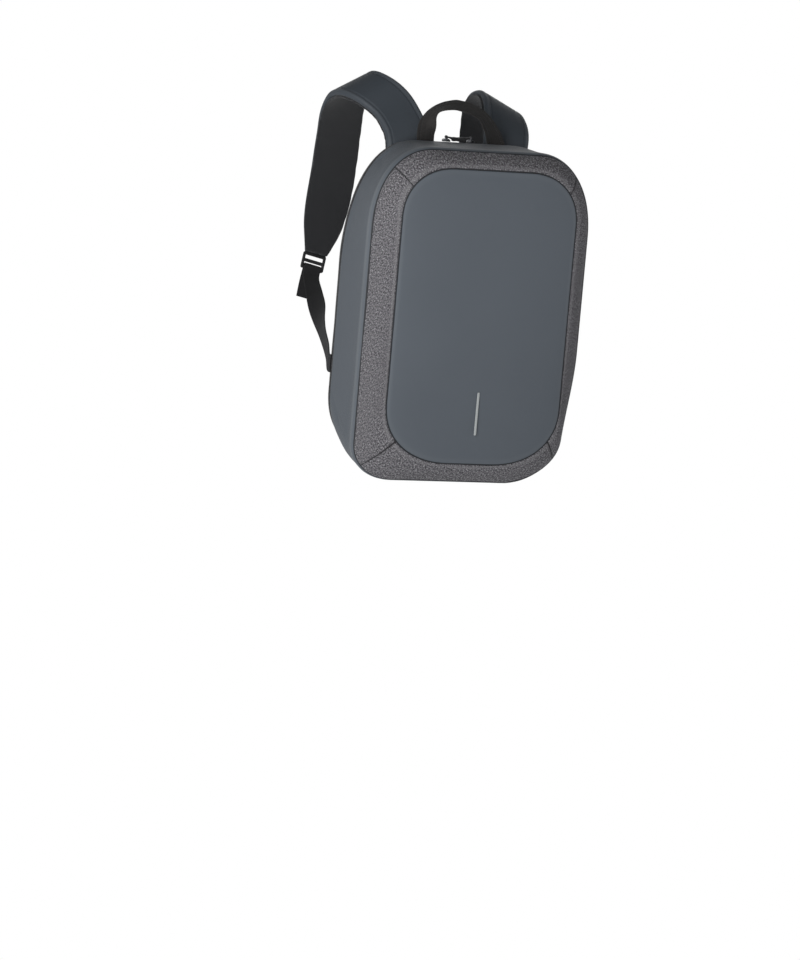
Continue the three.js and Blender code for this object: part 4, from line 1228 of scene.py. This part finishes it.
# Stage
def studio():
    scene = bpy.context.scene
    f = Finish("pale_floor")
    soft = f.speckle(f.place(), 2.0, 2.0)
    pale = f.between(soft, (0.9, 0.9, 0.905), (0.94, 0.94, 0.94))
    floor_finish = f.close(pale, 0.9, Emission_Color=(1, 1, 1, 1), Emission_Strength=0.25)
    mesh = bpy.data.meshes.new("floor")
    reach, level = 1.0, -1.3
    mesh.from_pydata(
        [(reach * x, reach * y, level) for x, y in ((-1, -1), (1, -1), (1, 1), (-1, 1))],
        [], [(0, 1, 2, 3)],
    )
    mesh.materials.append(floor_finish)
    floor = bpy.data.objects.new("floor", mesh)
    scene.collection.objects.link(floor)

    world = bpy.data.worlds.new("studio")
    world.use_nodes = True
    nodes, link = world.node_tree.nodes, world.node_tree.links.new
    soft_box = nodes["Background"]
    soft_box.inputs["Color"].default_value = (0.97, 0.985, 1.0, 1)
    facing, height = nodes.new("ShaderNodeTexCoord"), nodes.new("ShaderNodeSeparateXYZ")
    strength = nodes.new("ShaderNodeMapRange")
    strength.interpolation_type = "SMOOTHSTEP"
    for socket, value in zip(("From Min", "From Max", "To Min", "To Max"), (-0.3, 0.9, 0.52, 0.06)):
        strength.inputs[socket].default_value = value
    link(facing.outputs["Generated"], height.inputs[0])
    link(height.outputs["Z"], strength.inputs["Value"])
    link(strength.outputs["Result"], soft_box.inputs["Strength"])
    backdrop = nodes.new("ShaderNodeBackground")
    backdrop.inputs["Color"].default_value = (1, 1, 1, 1)
    seen, both = nodes.new("ShaderNodeLightPath"), nodes.new("ShaderNodeMixShader")
    link(seen.outputs["Is Camera Ray"], both.inputs[0])
    link(soft_box.outputs[0], both.inputs[1])
    link(backdrop.outputs[0], both.inputs[2])
    link(both.outputs[0], nodes["World Output"].inputs["Surface"])
    scene.world = world
    scene.view_settings.view_transform = "Standard"

    for name, place, size, power in (
        ("key", (-1.15, -1.15, 0.25), 0.9, 21),
        ("top", (0.2, -0.6, 2.6), 1.6, 1),
        ("fill", (2.2, -0.7, 0.3), 1.2, 7),
        ("rear", (0.9, 2.4, 0.9), 1.6, 9),
    ):
        lamp = bpy.data.lights.new(name, "AREA")
        lamp.energy, lamp.size = power, size
        holder = bpy.data.objects.new(name, lamp)
        scene.collection.objects.link(holder)
        holder.location = place
        holder.rotation_euler = (-Vector(place)).to_track_quat("-Z", "Y").to_euler()


AZIMUTH, ELEVATION, ROLL = math.radians(-20.5), math.radians(7), math.radians(5.1)
TARGET = Vector((0, -0.122, 0))
TARGET_PIXEL = (473.1, 318.0)
FRAME_PIXELS = (800, 960)
DISTANCE = 5.5
PIXELS_PER_METRE = 735


def camera():
    back = Vector((
        math.sin(AZIMUTH) * math.cos(ELEVATION),
        -math.cos(AZIMUTH) * math.cos(ELEVATION),
        math.sin(ELEVATION),
    ))
    flat = Vector((math.cos(AZIMUTH), math.sin(AZIMUTH), 0))
    up = back.cross(flat)
    right = flat * math.cos(ROLL) + up * math.sin(ROLL)
    up = up * math.cos(ROLL) - flat * math.sin(ROLL)
    pixels = DISTANCE * PIXELS_PER_METRE  # focal length in pixels
    aside = (TARGET_PIXEL[0] - FRAME_PIXELS[0] / 2) / pixels
    above = (FRAME_PIXELS[1] / 2 - TARGET_PIXEL[1]) / pixels
    ahead = (-back - right * aside - up * above).normalized()
    right = (right - ahead * right.dot(ahead)).normalized()
    up = right.cross(ahead)
    data = bpy.data.cameras.new("camera")
    data.sensor_width = 36
    data.lens = pixels * data.sensor_width / FRAME_PIXELS[1]
    data.clip_end = 100
    made = bpy.data.objects.new("camera", data)
    bpy.context.scene.collection.objects.link(made)
    turned = Matrix((right, up, -ahead)).transposed().to_4x4()
    made.matrix_world = Matrix.Translation(TARGET + back * DISTANCE) @ turned
    bpy.context.scene.camera = made


camera()
studio()
front_panel()
trim_ring("panel_welt_trim", panel_outline, PANEL_EDGE_Y + WELT_RADIUS, WELT_SEEN, "panel_welt")
frame_strips()
trim_ring("piping_trim", front_outline.grown(-GAP), PIPING_Y, PIPING_RADIUS, "outer_piping")
side_gusset()
zip_band()
back_panel()
back_pads()
strap_seams = []
for sign, side_name in SIDES:
    strap_seams += shoulder_strap(sign, side_name)
    lower_webbing(sign, side_name)
handle_seams = top_handle()
hard_pieces()
laid_along("strap_stitching", "stitch", strap_seams, pitch=3.6, length=2.7, thickness=0.55,
           finish=grey_thread, seed=5)
laid_along("handle_stitching", "stitch", handle_seams, pitch=3.2, length=2.4, thickness=0.5,
           finish=black_thread, seed=6)
